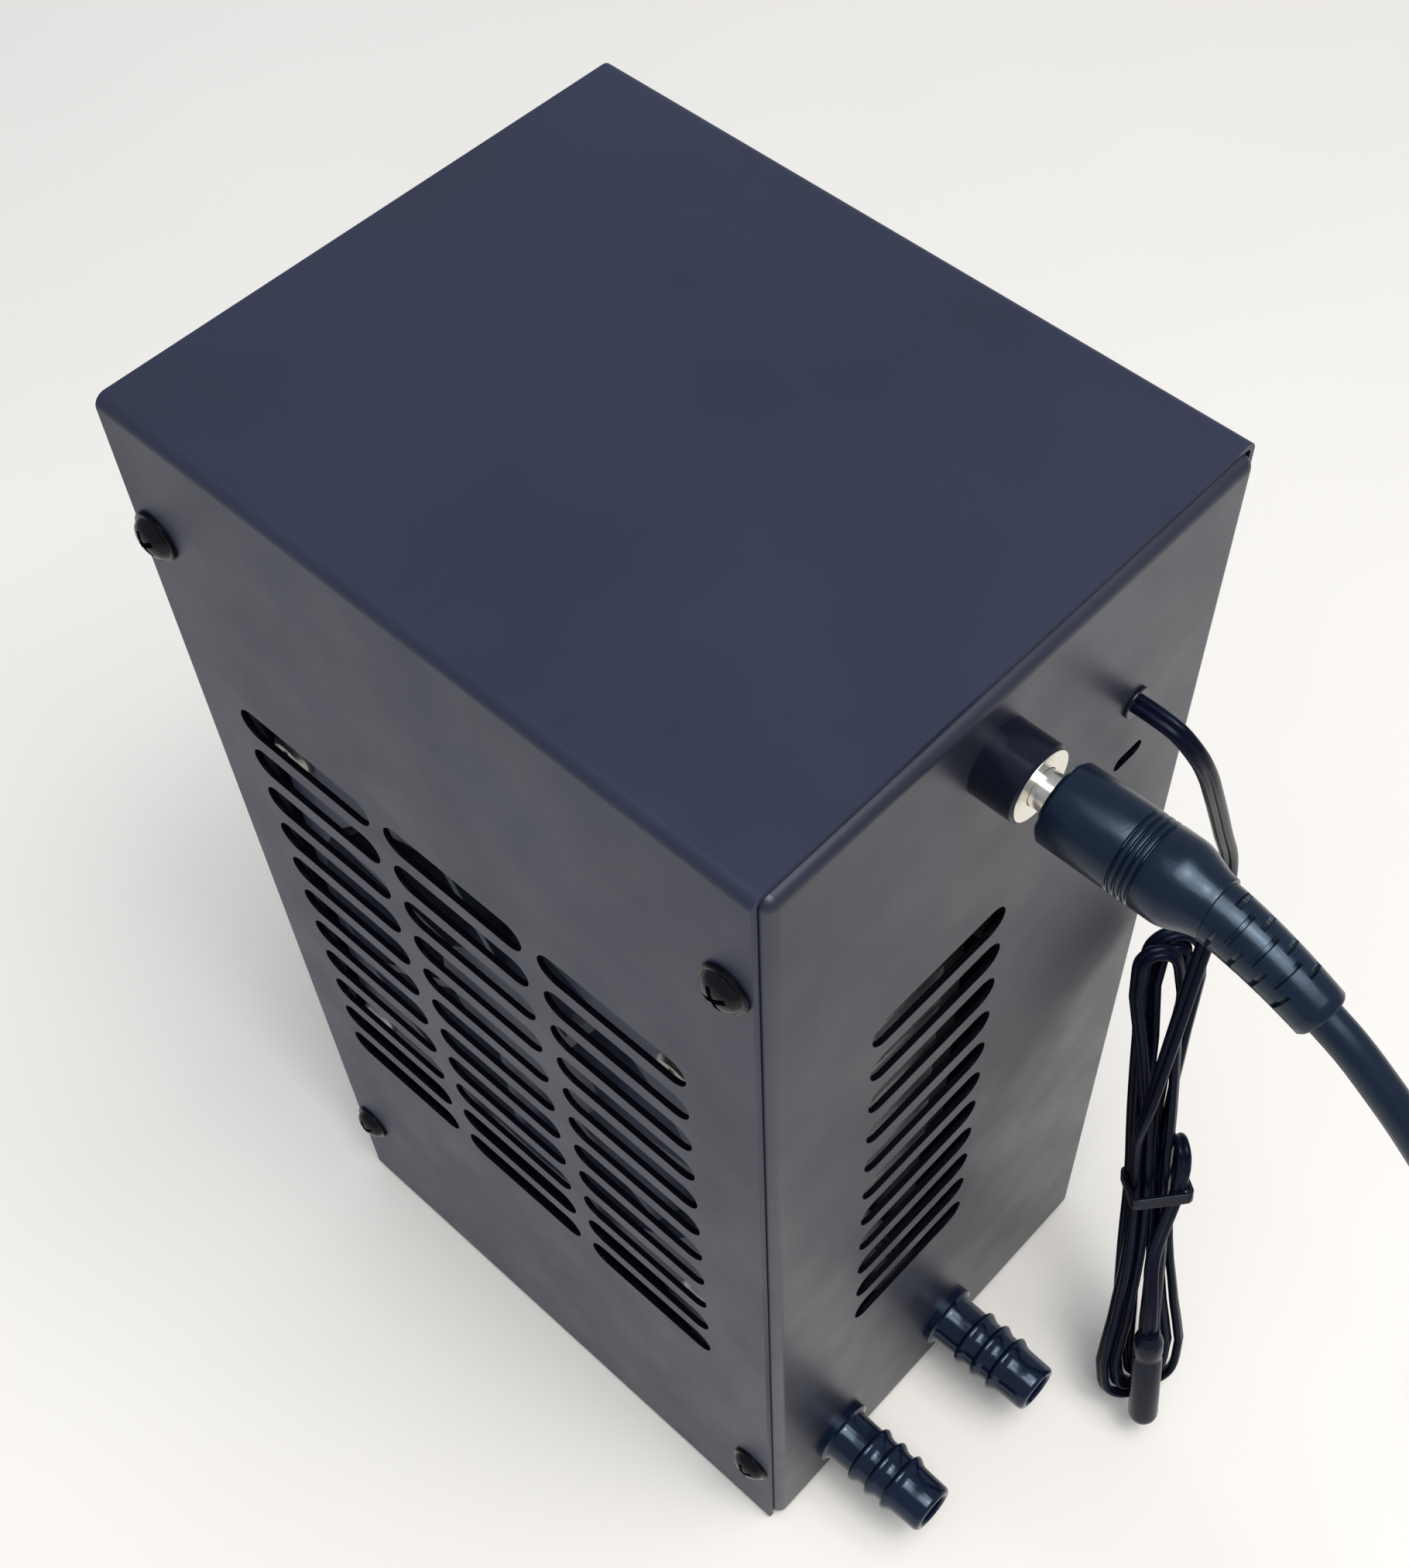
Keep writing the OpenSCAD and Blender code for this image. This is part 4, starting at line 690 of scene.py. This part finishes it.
class CHILLER_OT_view(bpy.types.Operator):
    """Sets the camera that looks down on the chiller's corner"""

    bl_idname = "chiller.view"
    bl_label = "Camera"

    def execute(self, context):
        own = context.scene.chiller_view
        right, up = Vector(own.right).normalized(), Vector(own.up).normalized()
        back = right.cross(up).normalized()
        data = bpy.data.cameras.new("camera")
        data.lens = own.lens
        data.sensor_width = 36
        data.shift_x, data.shift_y = own.shift
        data.clip_start, data.clip_end = 0.01, 20
        camera = bpy.data.objects.new("camera", data)
        rows = [[right[i], up[i], back[i], own.place[i]] for i in range(3)]
        camera.matrix_world = Matrix(rows + [[0, 0, 0, 1]])
        context.scene.collection.objects.link(camera)
        context.scene.camera = camera
        return {"FINISHED"}


# The plug, whose axis is LEAD_X and PLUG_Z, with its grip's face on PLUG_Y.
PLUG_Y, PLUG_Z = -0.070, 0.216
GRIP_R, GRIP_GROOVES, GROOVE_AT, GROOVE_STEP, GROOVE_R = 0.0059, 4, 0.011, 0.001, 0.00557
SHOULDER_AT, SHOULDER_L, SHOULDER_IN, SHOULDER_PARTS = 0.0176, 0.0059, 0.0016, 8
GRIP_EDGE, GRIP_END = 0.00022, 0.0235
RELIEF_Y = PLUG_Y - 0.018
RELIEF_L, RELIEF_DROP, RELIEF_POWER, RELIEF_RIBS = 0.0216, 0.006, 1.8, 7
RELIEF_R, RELIEF_TAPER, RELIEF_END, RELIEF_SIDES = 0.0043, 0.0006, 0.0003, 72
RIB_FROM, RIB_PITCH, WEB_SHARE, RIB_FREE = 0.31, 0.078, 0.78, 0.93
MOUTH_DEPTH, MOUTH_R, BARREL_END, BARREL_R, BORE_R = 0.005, 0.0028, -0.0095, 0.00275, 0.00125


def relief_point(s):
    """A point on the strain relief's bend, from the grip's back at 0 to the lead at 1."""
    return Vector((
        LEAD_X, RELIEF_Y - RELIEF_L * s, PLUG_Z - RELIEF_DROP * s ** RELIEF_POWER))


def relief_stations():
    """Places along the strain relief, each marked if it lies in the floor of a slot."""
    stations = [(0.15, False)]
    for i in range(RELIEF_RIBS):
        start = RIB_FROM + i * RIB_PITCH
        stations += [
            (start, False), (start + 0.04 * RIB_PITCH, True), (start + 0.34 * RIB_PITCH, True),
            (start + 0.38 * RIB_PITCH, False)]
    return stations + [(RIB_FREE, False), (0.985, False), (1.0, False)]


def grip_outline():
    """The grip's outline from its face to its back, with its grooves and its shoulder."""
    outline = [
        (MOUTH_DEPTH, 0.0), (MOUTH_DEPTH, MOUTH_R), (0.0, MOUTH_R), (0.0, 0.0052),
        (0.0007, GRIP_R)]
    for i in range(GRIP_GROOVES):
        at = GROOVE_AT + i * GROOVE_STEP
        outline += [
            (at, GRIP_R), (at + 0.0001, GROOVE_R), (at + 0.0003, GROOVE_R), (at + 0.0004, GRIP_R)]
    outline.append((SHOULDER_AT, GRIP_R))
    for i in range(1, SHOULDER_PARTS + 1):
        s = i / SHOULDER_PARTS
        outline.append((SHOULDER_AT + SHOULDER_L * s, GRIP_R - SHOULDER_IN * eased_step(s)))
    return outline + [(GRIP_END, 0.0)]


class CHILLER_OT_plug(bpy.types.Operator):
    """Makes the power plug: grip, slotted strain relief and barrel"""

    bl_idname = "chiller.plug"
    bl_label = "Power plug"

    def execute(self, context):
        own = context.scene.chiller_sizes
        grip = turned(grip_outline(), 64)
        ease(grip, GRIP_EDGE, 2, 40)
        moved(grip, facing_front(LEAD_X, PLUG_Z, PLUG_Y))

        stations = relief_stations()
        line = [relief_point(s) for s, _ in stations]
        angles = [math.tau * i / RELIEF_SIDES for i in range(RELIEF_SIDES)]
        ring = [(math.cos(a), math.sin(a)) for a in angles]
        radii = [RELIEF_R - RELIEF_TAPER * s for s, _ in stations]
        radii[-1] -= RELIEF_END
        places = [
            place @ Matrix.Scale(r, 4)
            for place, r in zip(placings(line, [Vector((1, 0, 0))] * len(line)), radii)
        ]

        def slots(i, angle):
            """Each slot leaves three webs, which change places from slot to slot."""
            if not stations[i][1]:
                return 1.0
            shifted = angle + (math.pi / 3 if (i - 1) // 4 % 2 else 0)
            web = abs(math.cos(1.5 * shifted)) > WEB_SHARE
            return 1.0 if web else 1 - own.slot_depth / radii[i]

        relief = swept(ring, places, slots)
        piece(joined(grip, relief), "plug-grip", "plug_black", "plug", "plug_body", sharp=40)

        barrel = turned([
            (BARREL_END, BORE_R), (BARREL_END, 0.0024), (-0.0090, BARREL_R),
            (MOUTH_DEPTH, BARREL_R), (MOUTH_DEPTH, BORE_R)], 48, 0.0001, closed=True)
        moved(barrel, facing_front(LEAD_X, PLUG_Z, PLUG_Y))
        piece(barrel, "plug-barrel", "nickel", "plug", "plug_barrel")
        return {"FINISHED"}


# The lead and its socket, with its neck's rings, its body and the pin in its mouth.
LEAD_HIDDEN, LEAD_SIDES, TAIL_PARTS = 0.004, 16, 5
NECK_R, RING_R, NECK_RINGS, RING_AT, RING_STEP = 0.0033, 0.0038, 3, 0.0028, 0.0016
SOCKET_L, SOCKET_R, GROOVE_IN = 0.038, SOCKET_D / 2, 0.0052
SOCKET_BORE, SOCKET_BORE_R, SOCKET_PIN_R = 0.028, 0.0029, 0.00105


def socket_outline():
    """The socket's outline from the lead to its mouth, then down its bore to the pin."""
    outline = [(0.0, 0.0), (0.0, 0.0031), (0.0025, NECK_R)]
    for i in range(NECK_RINGS):
        at = RING_AT + i * RING_STEP
        outline += [
            (at, 0.0037), (at + 0.0007, RING_R), (at + 0.0009, NECK_R), (at + 0.0015, NECK_R)]
    return outline + [
        (0.0078, 0.0039), (0.0088, 0.0050), (0.0102, SOCKET_R), (0.030, SOCKET_R),
        (0.0303, GROOVE_IN), (0.0309, GROOVE_IN), (0.0312, SOCKET_R), (0.0374, SOCKET_R),
        (SOCKET_L, 0.0049), (SOCKET_L, SOCKET_BORE_R), (SOCKET_BORE, SOCKET_BORE_R),
        (SOCKET_BORE, SOCKET_PIN_R), (0.0365, SOCKET_PIN_R), (0.037, 0.0)]


class CHILLER_OT_lead(bpy.types.Operator):
    """Makes the power lead from the plug to its coil, and the socket on its end"""

    bl_idname = "chiller.lead"
    bl_label = "Power lead"

    def execute(self, context):
        start, before = relief_point(1.0), relief_point(RIB_FREE)
        way = (start - before).normalized()
        free = [start - way * LEAD_HIDDEN, start, start + way * LEAD_D]
        free += [Vector((LEAD_X, y, z)) for y, z in LEAD_ROUTE] + [Vector(COIL_START)]
        rings = int((TURNS_IN + TURNS_OUT) * COIL_RINGS)
        coil = [coil_point(i / COIL_RINGS) for i in range(rings + 1)]
        last = coil_point(TURNS_IN + TURNS_OUT)
        rise = SOCKET_R - COIL_LOW
        tail = [
            last + Vector((0, COIL_END * i / TAIL_PARTS, rise * eased_step(i / TAIL_PARTS)))
            for i in range(1, TAIL_PARTS + 1)
        ]
        tail.append(last + Vector((0, COIL_END + LEAD_D, rise)))
        line = smoothed(free + coil + tail, 3)
        angles = [math.tau * i / LEAD_SIDES for i in range(LEAD_SIDES)]
        ring = [(LEAD_D / 2 * math.cos(a), LEAD_D / 2 * math.sin(a)) for a in angles]
        sides = []
        for i in range(len(line)):
            ahead = (line[min(i + 1, len(line) - 1)] - line[max(i - 1, 0)]).normalized()
            flat = Vector((0, 0, 1)).cross(ahead)
            sides.append(flat if flat.length > 0.3 else Vector((1, 0, 0)))
        for i in range(1, len(sides)):
            if sides[i].dot(sides[i - 1]) < 0:
                sides[i] = -sides[i]
        lead = piece(swept(ring, placings(line, sides)), "lead", "lead_black", "plug",
                     "lead_cord", "lead_coil", sharp=60)

        low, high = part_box("lead_socket")
        x, y, z = (low[0] + high[0]) / 2, low[1], (low[2] + high[2]) / 2
        socket = turned(socket_outline(), 56)
        ease(socket, 0.00015, 2, 35)
        moved(socket, Matrix.Translation((x, y, z)) @ Matrix.Rotation(-math.pi / 2, 4, "X"))
        end_piece = piece(socket, "lead-socket", "plug_black", "plug", "lead_socket", sharp=40)
        return {"FINISHED"}


CORE_POINTS, CORE_ARC, CRIMP_R = 9, 236, 0.0028


def cord_outline(groove):
    """The flat cord's outline: a round core on each side and a groove on each face."""
    core = JACKET_T / 2
    half = []
    for i in range(CORE_POINTS):
        a = math.radians(-CORE_ARC / 2 + CORE_ARC * i / (CORE_POINTS - 1))
        half.append((JACKET_W / 2 - core + core * math.cos(a), core * math.sin(a)))
    other = [(-x, -y) for x, y in half]
    return half + [(0.0, core - groove)] + other + [(0.0, groove - core)]


def capsule_outline():
    """The capsule's outline from its round tip over its crimp to the cord's end."""
    r = CAPSULE_D / 2
    tip = [
        (r * (1 - math.cos(a)), r * math.sin(a))
        for a in (math.radians(d) for d in range(12, 91, 13))
    ]
    return [(0.0, 0.0)] + tip + [
        (0.0190, r), (0.0196, CRIMP_R), (0.0206, CRIMP_R), (0.0212, r), (0.0240, r),
        (0.0252, 0.0026), (CAPSULE_L, 0.0020), (CAPSULE_L, 0.0)]


class CHILLER_OT_sensor(bpy.types.Operator):
    """Makes the sensor's flat cord with its bush, its hank, its tie and its capsule"""

    bl_idname = "chiller.sensor"
    bl_label = "Sensor cord"

    def execute(self, context):
        points, sides = sensor_route()
        line = smoothed(points, 3)
        turn = turned_along(sides, 3)
        ring = cord_outline(context.scene.chiller_sizes.cord_groove)
        cord = piece(swept(ring, placings(line, turn)), "sensor-cord", "cord_black", "case",
                     "probe_cord", "probe_hank", sharp=50)

        capsule = turned(capsule_outline(), 40)
        moved(capsule, HANK @ Matrix.Translation((-TIP_X, 0, TIP_LOW)))
        tip = piece(capsule, "sensor-capsule", "black_gloss", "case", "probe_tip", sharp=40)
        tie = eased("probe_tie", 0.0005, 3, "hank-tie")
        eased("probe_grommet", 0.0002, 2, "cord-bush")
        return {"FINISHED"}


class CHILLER_OT_case(bpy.types.Operator):
    """Dresses the folded cover and the chassis"""

    bl_idname = "chiller.case"
    bl_label = "Case"

    def execute(self, context):
        width = context.scene.chiller_sizes.sheet_ease
        # The chassis keeps its own edges plain, and the cover's cut edges count as holes; the
        # walls of all these holes get painted shade.
        low, high = (-0.044, -0.0555, 0.006), (0.044, 0.0555, 0.224)
        all_low, all_high = (-0.046, FRONT, 0.0), (0.046, -FRONT, 0.228)
        shaded_rim_walls = [(0, x, all_low, all_high) for x in (-SIDE, SIDE)]
        eased("cover", width, 2, "case-cover", shaded_rim_walls + [(2, TOP, all_low, all_high)])
        eased("chassis", width, 2, "case-chassis", [(1, y, low, high) for y in (FRONT, -FRONT)])
        return {"FINISHED"}


HEAD_R, SHANK_R, SHANK_END = 0.0040, 0.0020, -0.0080
RECESS_TURN, RECESS_AT, RECESS_L, RECESS_W = 0.5, 0.0027, 0.0042, 0.0009
FOOT_X, FOOT_Y = 0.036, 0.048


def screw_head(depth):
    """A pan head on its shank, with a cross cut into it as deep as asked."""
    head = turned([
        (SHANK_END, 0.0), (SHANK_END, 0.0014), (-0.0072, SHANK_R), (0.0, SHANK_R), (0.0, 0.0039),
        (0.00015, HEAD_R), (0.0006, HEAD_R), (0.0008, 0.0038), (0.00085, 0.0034),
        (0.0013, 0.0032), (0.0018, 0.0028), (0.0022, 0.0021), (0.0025, 0.0012), (0.0026, 0.0)], 40)
    for turn in (RECESS_TURN, RECESS_TURN + math.pi / 2):
        bar = bmesh.new()
        place = Matrix.Rotation(turn, 4, "Z") @ Matrix.Translation((0, 0, RECESS_AT))
        bmesh.ops.create_cube(
            bar, size=1.0, matrix=place @ Matrix.Diagonal((RECESS_L, RECESS_W, 2 * depth, 1)))
        head = cut(head, bar)
    return head


class CHILLER_OT_screws(bpy.types.Operator):
    """Makes the eight screws of the cover and the four feet"""

    bl_idname = "chiller.screws"
    bl_label = "Cover screws and feet"

    def execute(self, context):
        depth = context.scene.chiller_sizes.recess_depth
        low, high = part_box("cover_screws")
        parts = []
        for side in (-1, 1):
            for y in (low[1] + HEAD_R, high[1] - HEAD_R):
                for z in (low[2] + HEAD_R, high[2] - HEAD_R):
                    place = Matrix.Translation((side * SIDE, y, z))
                    place = place @ Matrix.Rotation(side * math.pi / 2, 4, "Y")
                    parts.append(moved(screw_head(depth), place))
        piece(joined(*parts), "cover-screws", "dark_steel", "case", "cover_screws", sharp=30)
        foot = [
            (0.0, 0.0), (0.0, 0.0022), (0.0004, 0.0026), (0.0004, 0.0032), (0.0, 0.0036),
            (0.0, 0.0056), (0.0004, 0.0060), (0.0015, 0.0060), (0.0015, 0.0)]
        feet = [
            moved(turned(foot, 40), Matrix.Translation((x, y, 0)))
            for x in (-FOOT_X, FOOT_X) for y in (-FOOT_Y, FOOT_Y)
        ]
        piece(joined(*feet), "feet", "rubber", "case", "rubber_feet")
        return {"FINISHED"}


BARB_R, BARB_BORE, BARB_END, THREAD_R, BARB_COLLAR_R = 0.0053, 0.0035, -0.023, 0.0055, 0.0066
BARB_RIBS, RIB_AT, RIB_STEP = 3, 0.0073, 0.004


def barb_outline():
    """A hose barb's outline, from its thread behind the panel to its mouth."""
    outline = [
        (BARB_END, BARB_BORE), (BARB_END, 0.0047), (-0.009, 0.0047), (-0.009, THREAD_R),
        (0.0, THREAD_R), (0.0, BARB_COLLAR_R), (0.0015, BARB_COLLAR_R), (0.0019, 0.0057),
        (0.0027, 0.0054)]
    for i in range(BARB_RIBS):
        at = RIB_AT + i * RIB_STEP
        outline += [
            (at, BARB_R), (at + 0.0002, 0.00575), (at + 0.0005, 0.0061), (at + 0.0009, 0.0062),
            (at + 0.0014, 0.0060), (at + 0.0022, 0.0055), (at + 0.0029, BARB_R)]
    return outline + [
        (0.0205, 0.0052), (0.0236, 0.0051), (0.0241, 0.0049), (0.0244, 0.0045),
        (0.0244, 0.0039), (0.0240, BARB_BORE)]


class CHILLER_OT_fittings(bpy.types.Operator):
    """Makes the hose barbs with their nuts, seals and hoses, and the power jack"""

    bl_idname = "chiller.fittings"
    bl_label = "Barbs and jack"

    def execute(self, context):
        for node in ("inlet_barb", "outlet_barb"):
            x, _, z = middle(node)
            barb = turned(barb_outline(), 64, closed=True)
            piece(moved(barb, facing_front(x, z)), node.replace("_", "-"), "barb_plastic", "case",
                  node, sharp=38)
        width = context.scene.chiller_sizes.moulding_ease
        dressed((
            ("barb_nuts", 1.5), ("barb_seals", 0.8), ("inlet_hose", 0), ("outlet_hose", 0),
            ("hose_clips", 0.3), ("jack_housing", 1.2), ("jack_sleeve", 0.4), ("jack_pin", 0.6),
            ("jack_nut", 0.8)), width)
        return {"FINISHED"}


class CHILLER_OT_inside(bpy.types.Operator):
    """Dresses the fan, the cooling stack and the wiring inside the case"""

    bl_idname = "chiller.inside"
    bl_label = "Fan, cooling stack and wiring"

    def execute(self, context):
        width = context.scene.chiller_sizes.moulding_ease
        dressed((
            ("fan_frame", 1.5), ("fan_rotor", 1.0), ("fan_shaft", 0.5), ("fan_stator", 0.5),
            ("fan_screws", 0.5), ("heatsink", 0), ("sink_stand", 0.6), ("stand_screws", 0.6),
            ("peltier_module", 0.3), ("module_gasket", 0), ("water_block", 1.0),
            ("block_insulation", 1.5), ("clamp_bars", 0.8), ("clamp_screws", 0.6),
            ("power_wires", 0), ("module_wires", 0), ("fan_wires", 0),
            ("probe_lead_inner", 0)), width)
        return {"FINISHED"}


class CHILLER_OT_thermostat(bpy.types.Operator):
    """Dresses the thermostat with its display, its buttons and its terminals"""

    bl_idname = "chiller.thermostat"
    bl_label = "Thermostat"

    def execute(self, context):
        width = context.scene.chiller_sizes.moulding_ease
        dressed((
            ("thermostat_case", 1.6), ("thermostat_back", 1.2), ("thermostat_board", 0.4),
            ("display_lens", 0.5), ("display_digits", 0), ("button_up", 1.6),
            ("button_down", 1.6), ("tact_switches", 0.6), ("relay", 1.6),
            ("terminal_block", 1.0)), width)
        return {"FINISHED"}


# Each lamp's name, place, size, watts and tone.
LAMPS = (
    ("front_light", (-0.05, -0.50, 1.35), (1.0, 0.8), 15.5, (1.0, 0.975, 0.94)),
    ("small_light", (-0.05, -0.50, 1.34), (0.26, 0.20), 2.6, (0.96, 0.98, 1.0)),
    ("ceiling_light", (-0.30, -0.10, 1.60), (1.0, 0.8), 3.5, (0.95, 0.97, 1.0)),
)
ROOM_TONE, ROOM_STRENGTH, FLOOR_SIZE = (0.84, 0.90, 1.0, 1.0), 0.50, 6


class CHILLER_OT_stage(bpy.types.Operator):
    """Lays the floor and hangs the soft lights"""

    bl_idname = "chiller.stage"
    bl_label = "Stage"

    def execute(self, context):
        scene = context.scene
        bm = bmesh.new()
        bmesh.ops.create_grid(bm, x_segments=1, y_segments=1, size=FLOOR_SIZE)
        mesh = bpy.data.meshes.new("floor")
        bm.to_mesh(mesh)
        bm.free()
        floor = bpy.data.objects.new("floor", mesh)
        scene.collection.objects.link(floor)
        mesh.materials.append(surface(
            "pale_floor", scene.chiller_finishes.floor, swing=0.015, cloud=6, gloss=(0.5, 0.6),
            grain=300, relief=0.0))

        for name, place, size, energy, colour in LAMPS:
            lamp = bpy.data.lights.new(name, "AREA")
            lamp.shape = "RECTANGLE"
            lamp.size, lamp.size_y = size
            lamp.energy = energy
            lamp.color = colour
            light = bpy.data.objects.new(name, lamp)
            light.location = place
            aim = Vector(place) - Vector((0, 0, 0.1))
            light.rotation_euler = aim.to_track_quat("Z", "Y").to_euler()
            scene.collection.objects.link(light)

        world = bpy.data.worlds.new("studio")
        world.use_nodes = True
        background = world.node_tree.nodes["Background"]
        background.inputs["Color"].default_value = ROOM_TONE
        background.inputs["Strength"].default_value = ROOM_STRENGTH
        scene.world = world
        scene.view_settings.view_transform = "Standard"
        return {"FINISHED"}


class CHILLER_PT_panel(bpy.types.Panel):
    """Lists the chiller's settings and the pieces it is made of"""

    bl_label = "Aquarium chiller"
    bl_idname = "CHILLER_PT_panel"
    bl_space_type = "VIEW_3D"
    bl_region_type = "UI"
    bl_category = "Chiller"

    def draw(self, context):
        layout = self.layout
        for name in ("chiller_finishes", "chiller_sizes", "chiller_view"):
            group = getattr(context.scene, name)
            box = layout.box()
            for key in group.__annotations__:
                box.prop(group, key)
        for operator in OPERATORS:
            layout.operator(operator.bl_idname)


OPERATORS = (
    CHILLER_OT_view, CHILLER_OT_plug, CHILLER_OT_lead, CHILLER_OT_sensor, CHILLER_OT_case,
    CHILLER_OT_screws, CHILLER_OT_fittings, CHILLER_OT_inside, CHILLER_OT_thermostat,
    CHILLER_OT_stage,
)
CLASSES = (ChillerFinishes, ChillerSizes, ChillerView) + OPERATORS + (CHILLER_PT_panel,)


def register():
    """Makes the panel, the operators and the settings known."""
    for cls in CLASSES:
        bpy.utils.register_class(cls)
    scene = bpy.types.Scene
    scene.chiller_finishes = bpy.props.PointerProperty(type=ChillerFinishes)
    scene.chiller_sizes = bpy.props.PointerProperty(type=ChillerSizes)
    scene.chiller_view = bpy.props.PointerProperty(type=ChillerView)


def unregister():
    """Takes the settings, the operators and the panel away."""
    for name in ("chiller_finishes", "chiller_sizes", "chiller_view"):
        delattr(bpy.types.Scene, name)
    for cls in reversed(CLASSES):
        bpy.utils.unregister_class(cls)


def main():
    """Builds every piece and the stage."""
    register()
    bpy.ops.chiller.view()
    bpy.ops.chiller.plug()
    bpy.ops.chiller.lead()
    bpy.ops.chiller.sensor()
    bpy.ops.chiller.case()
    bpy.ops.chiller.screws()
    bpy.ops.chiller.fittings()
    bpy.ops.chiller.inside()
    bpy.ops.chiller.thermostat()
    bpy.ops.chiller.stage()


if __name__ == "__main__":
    main()
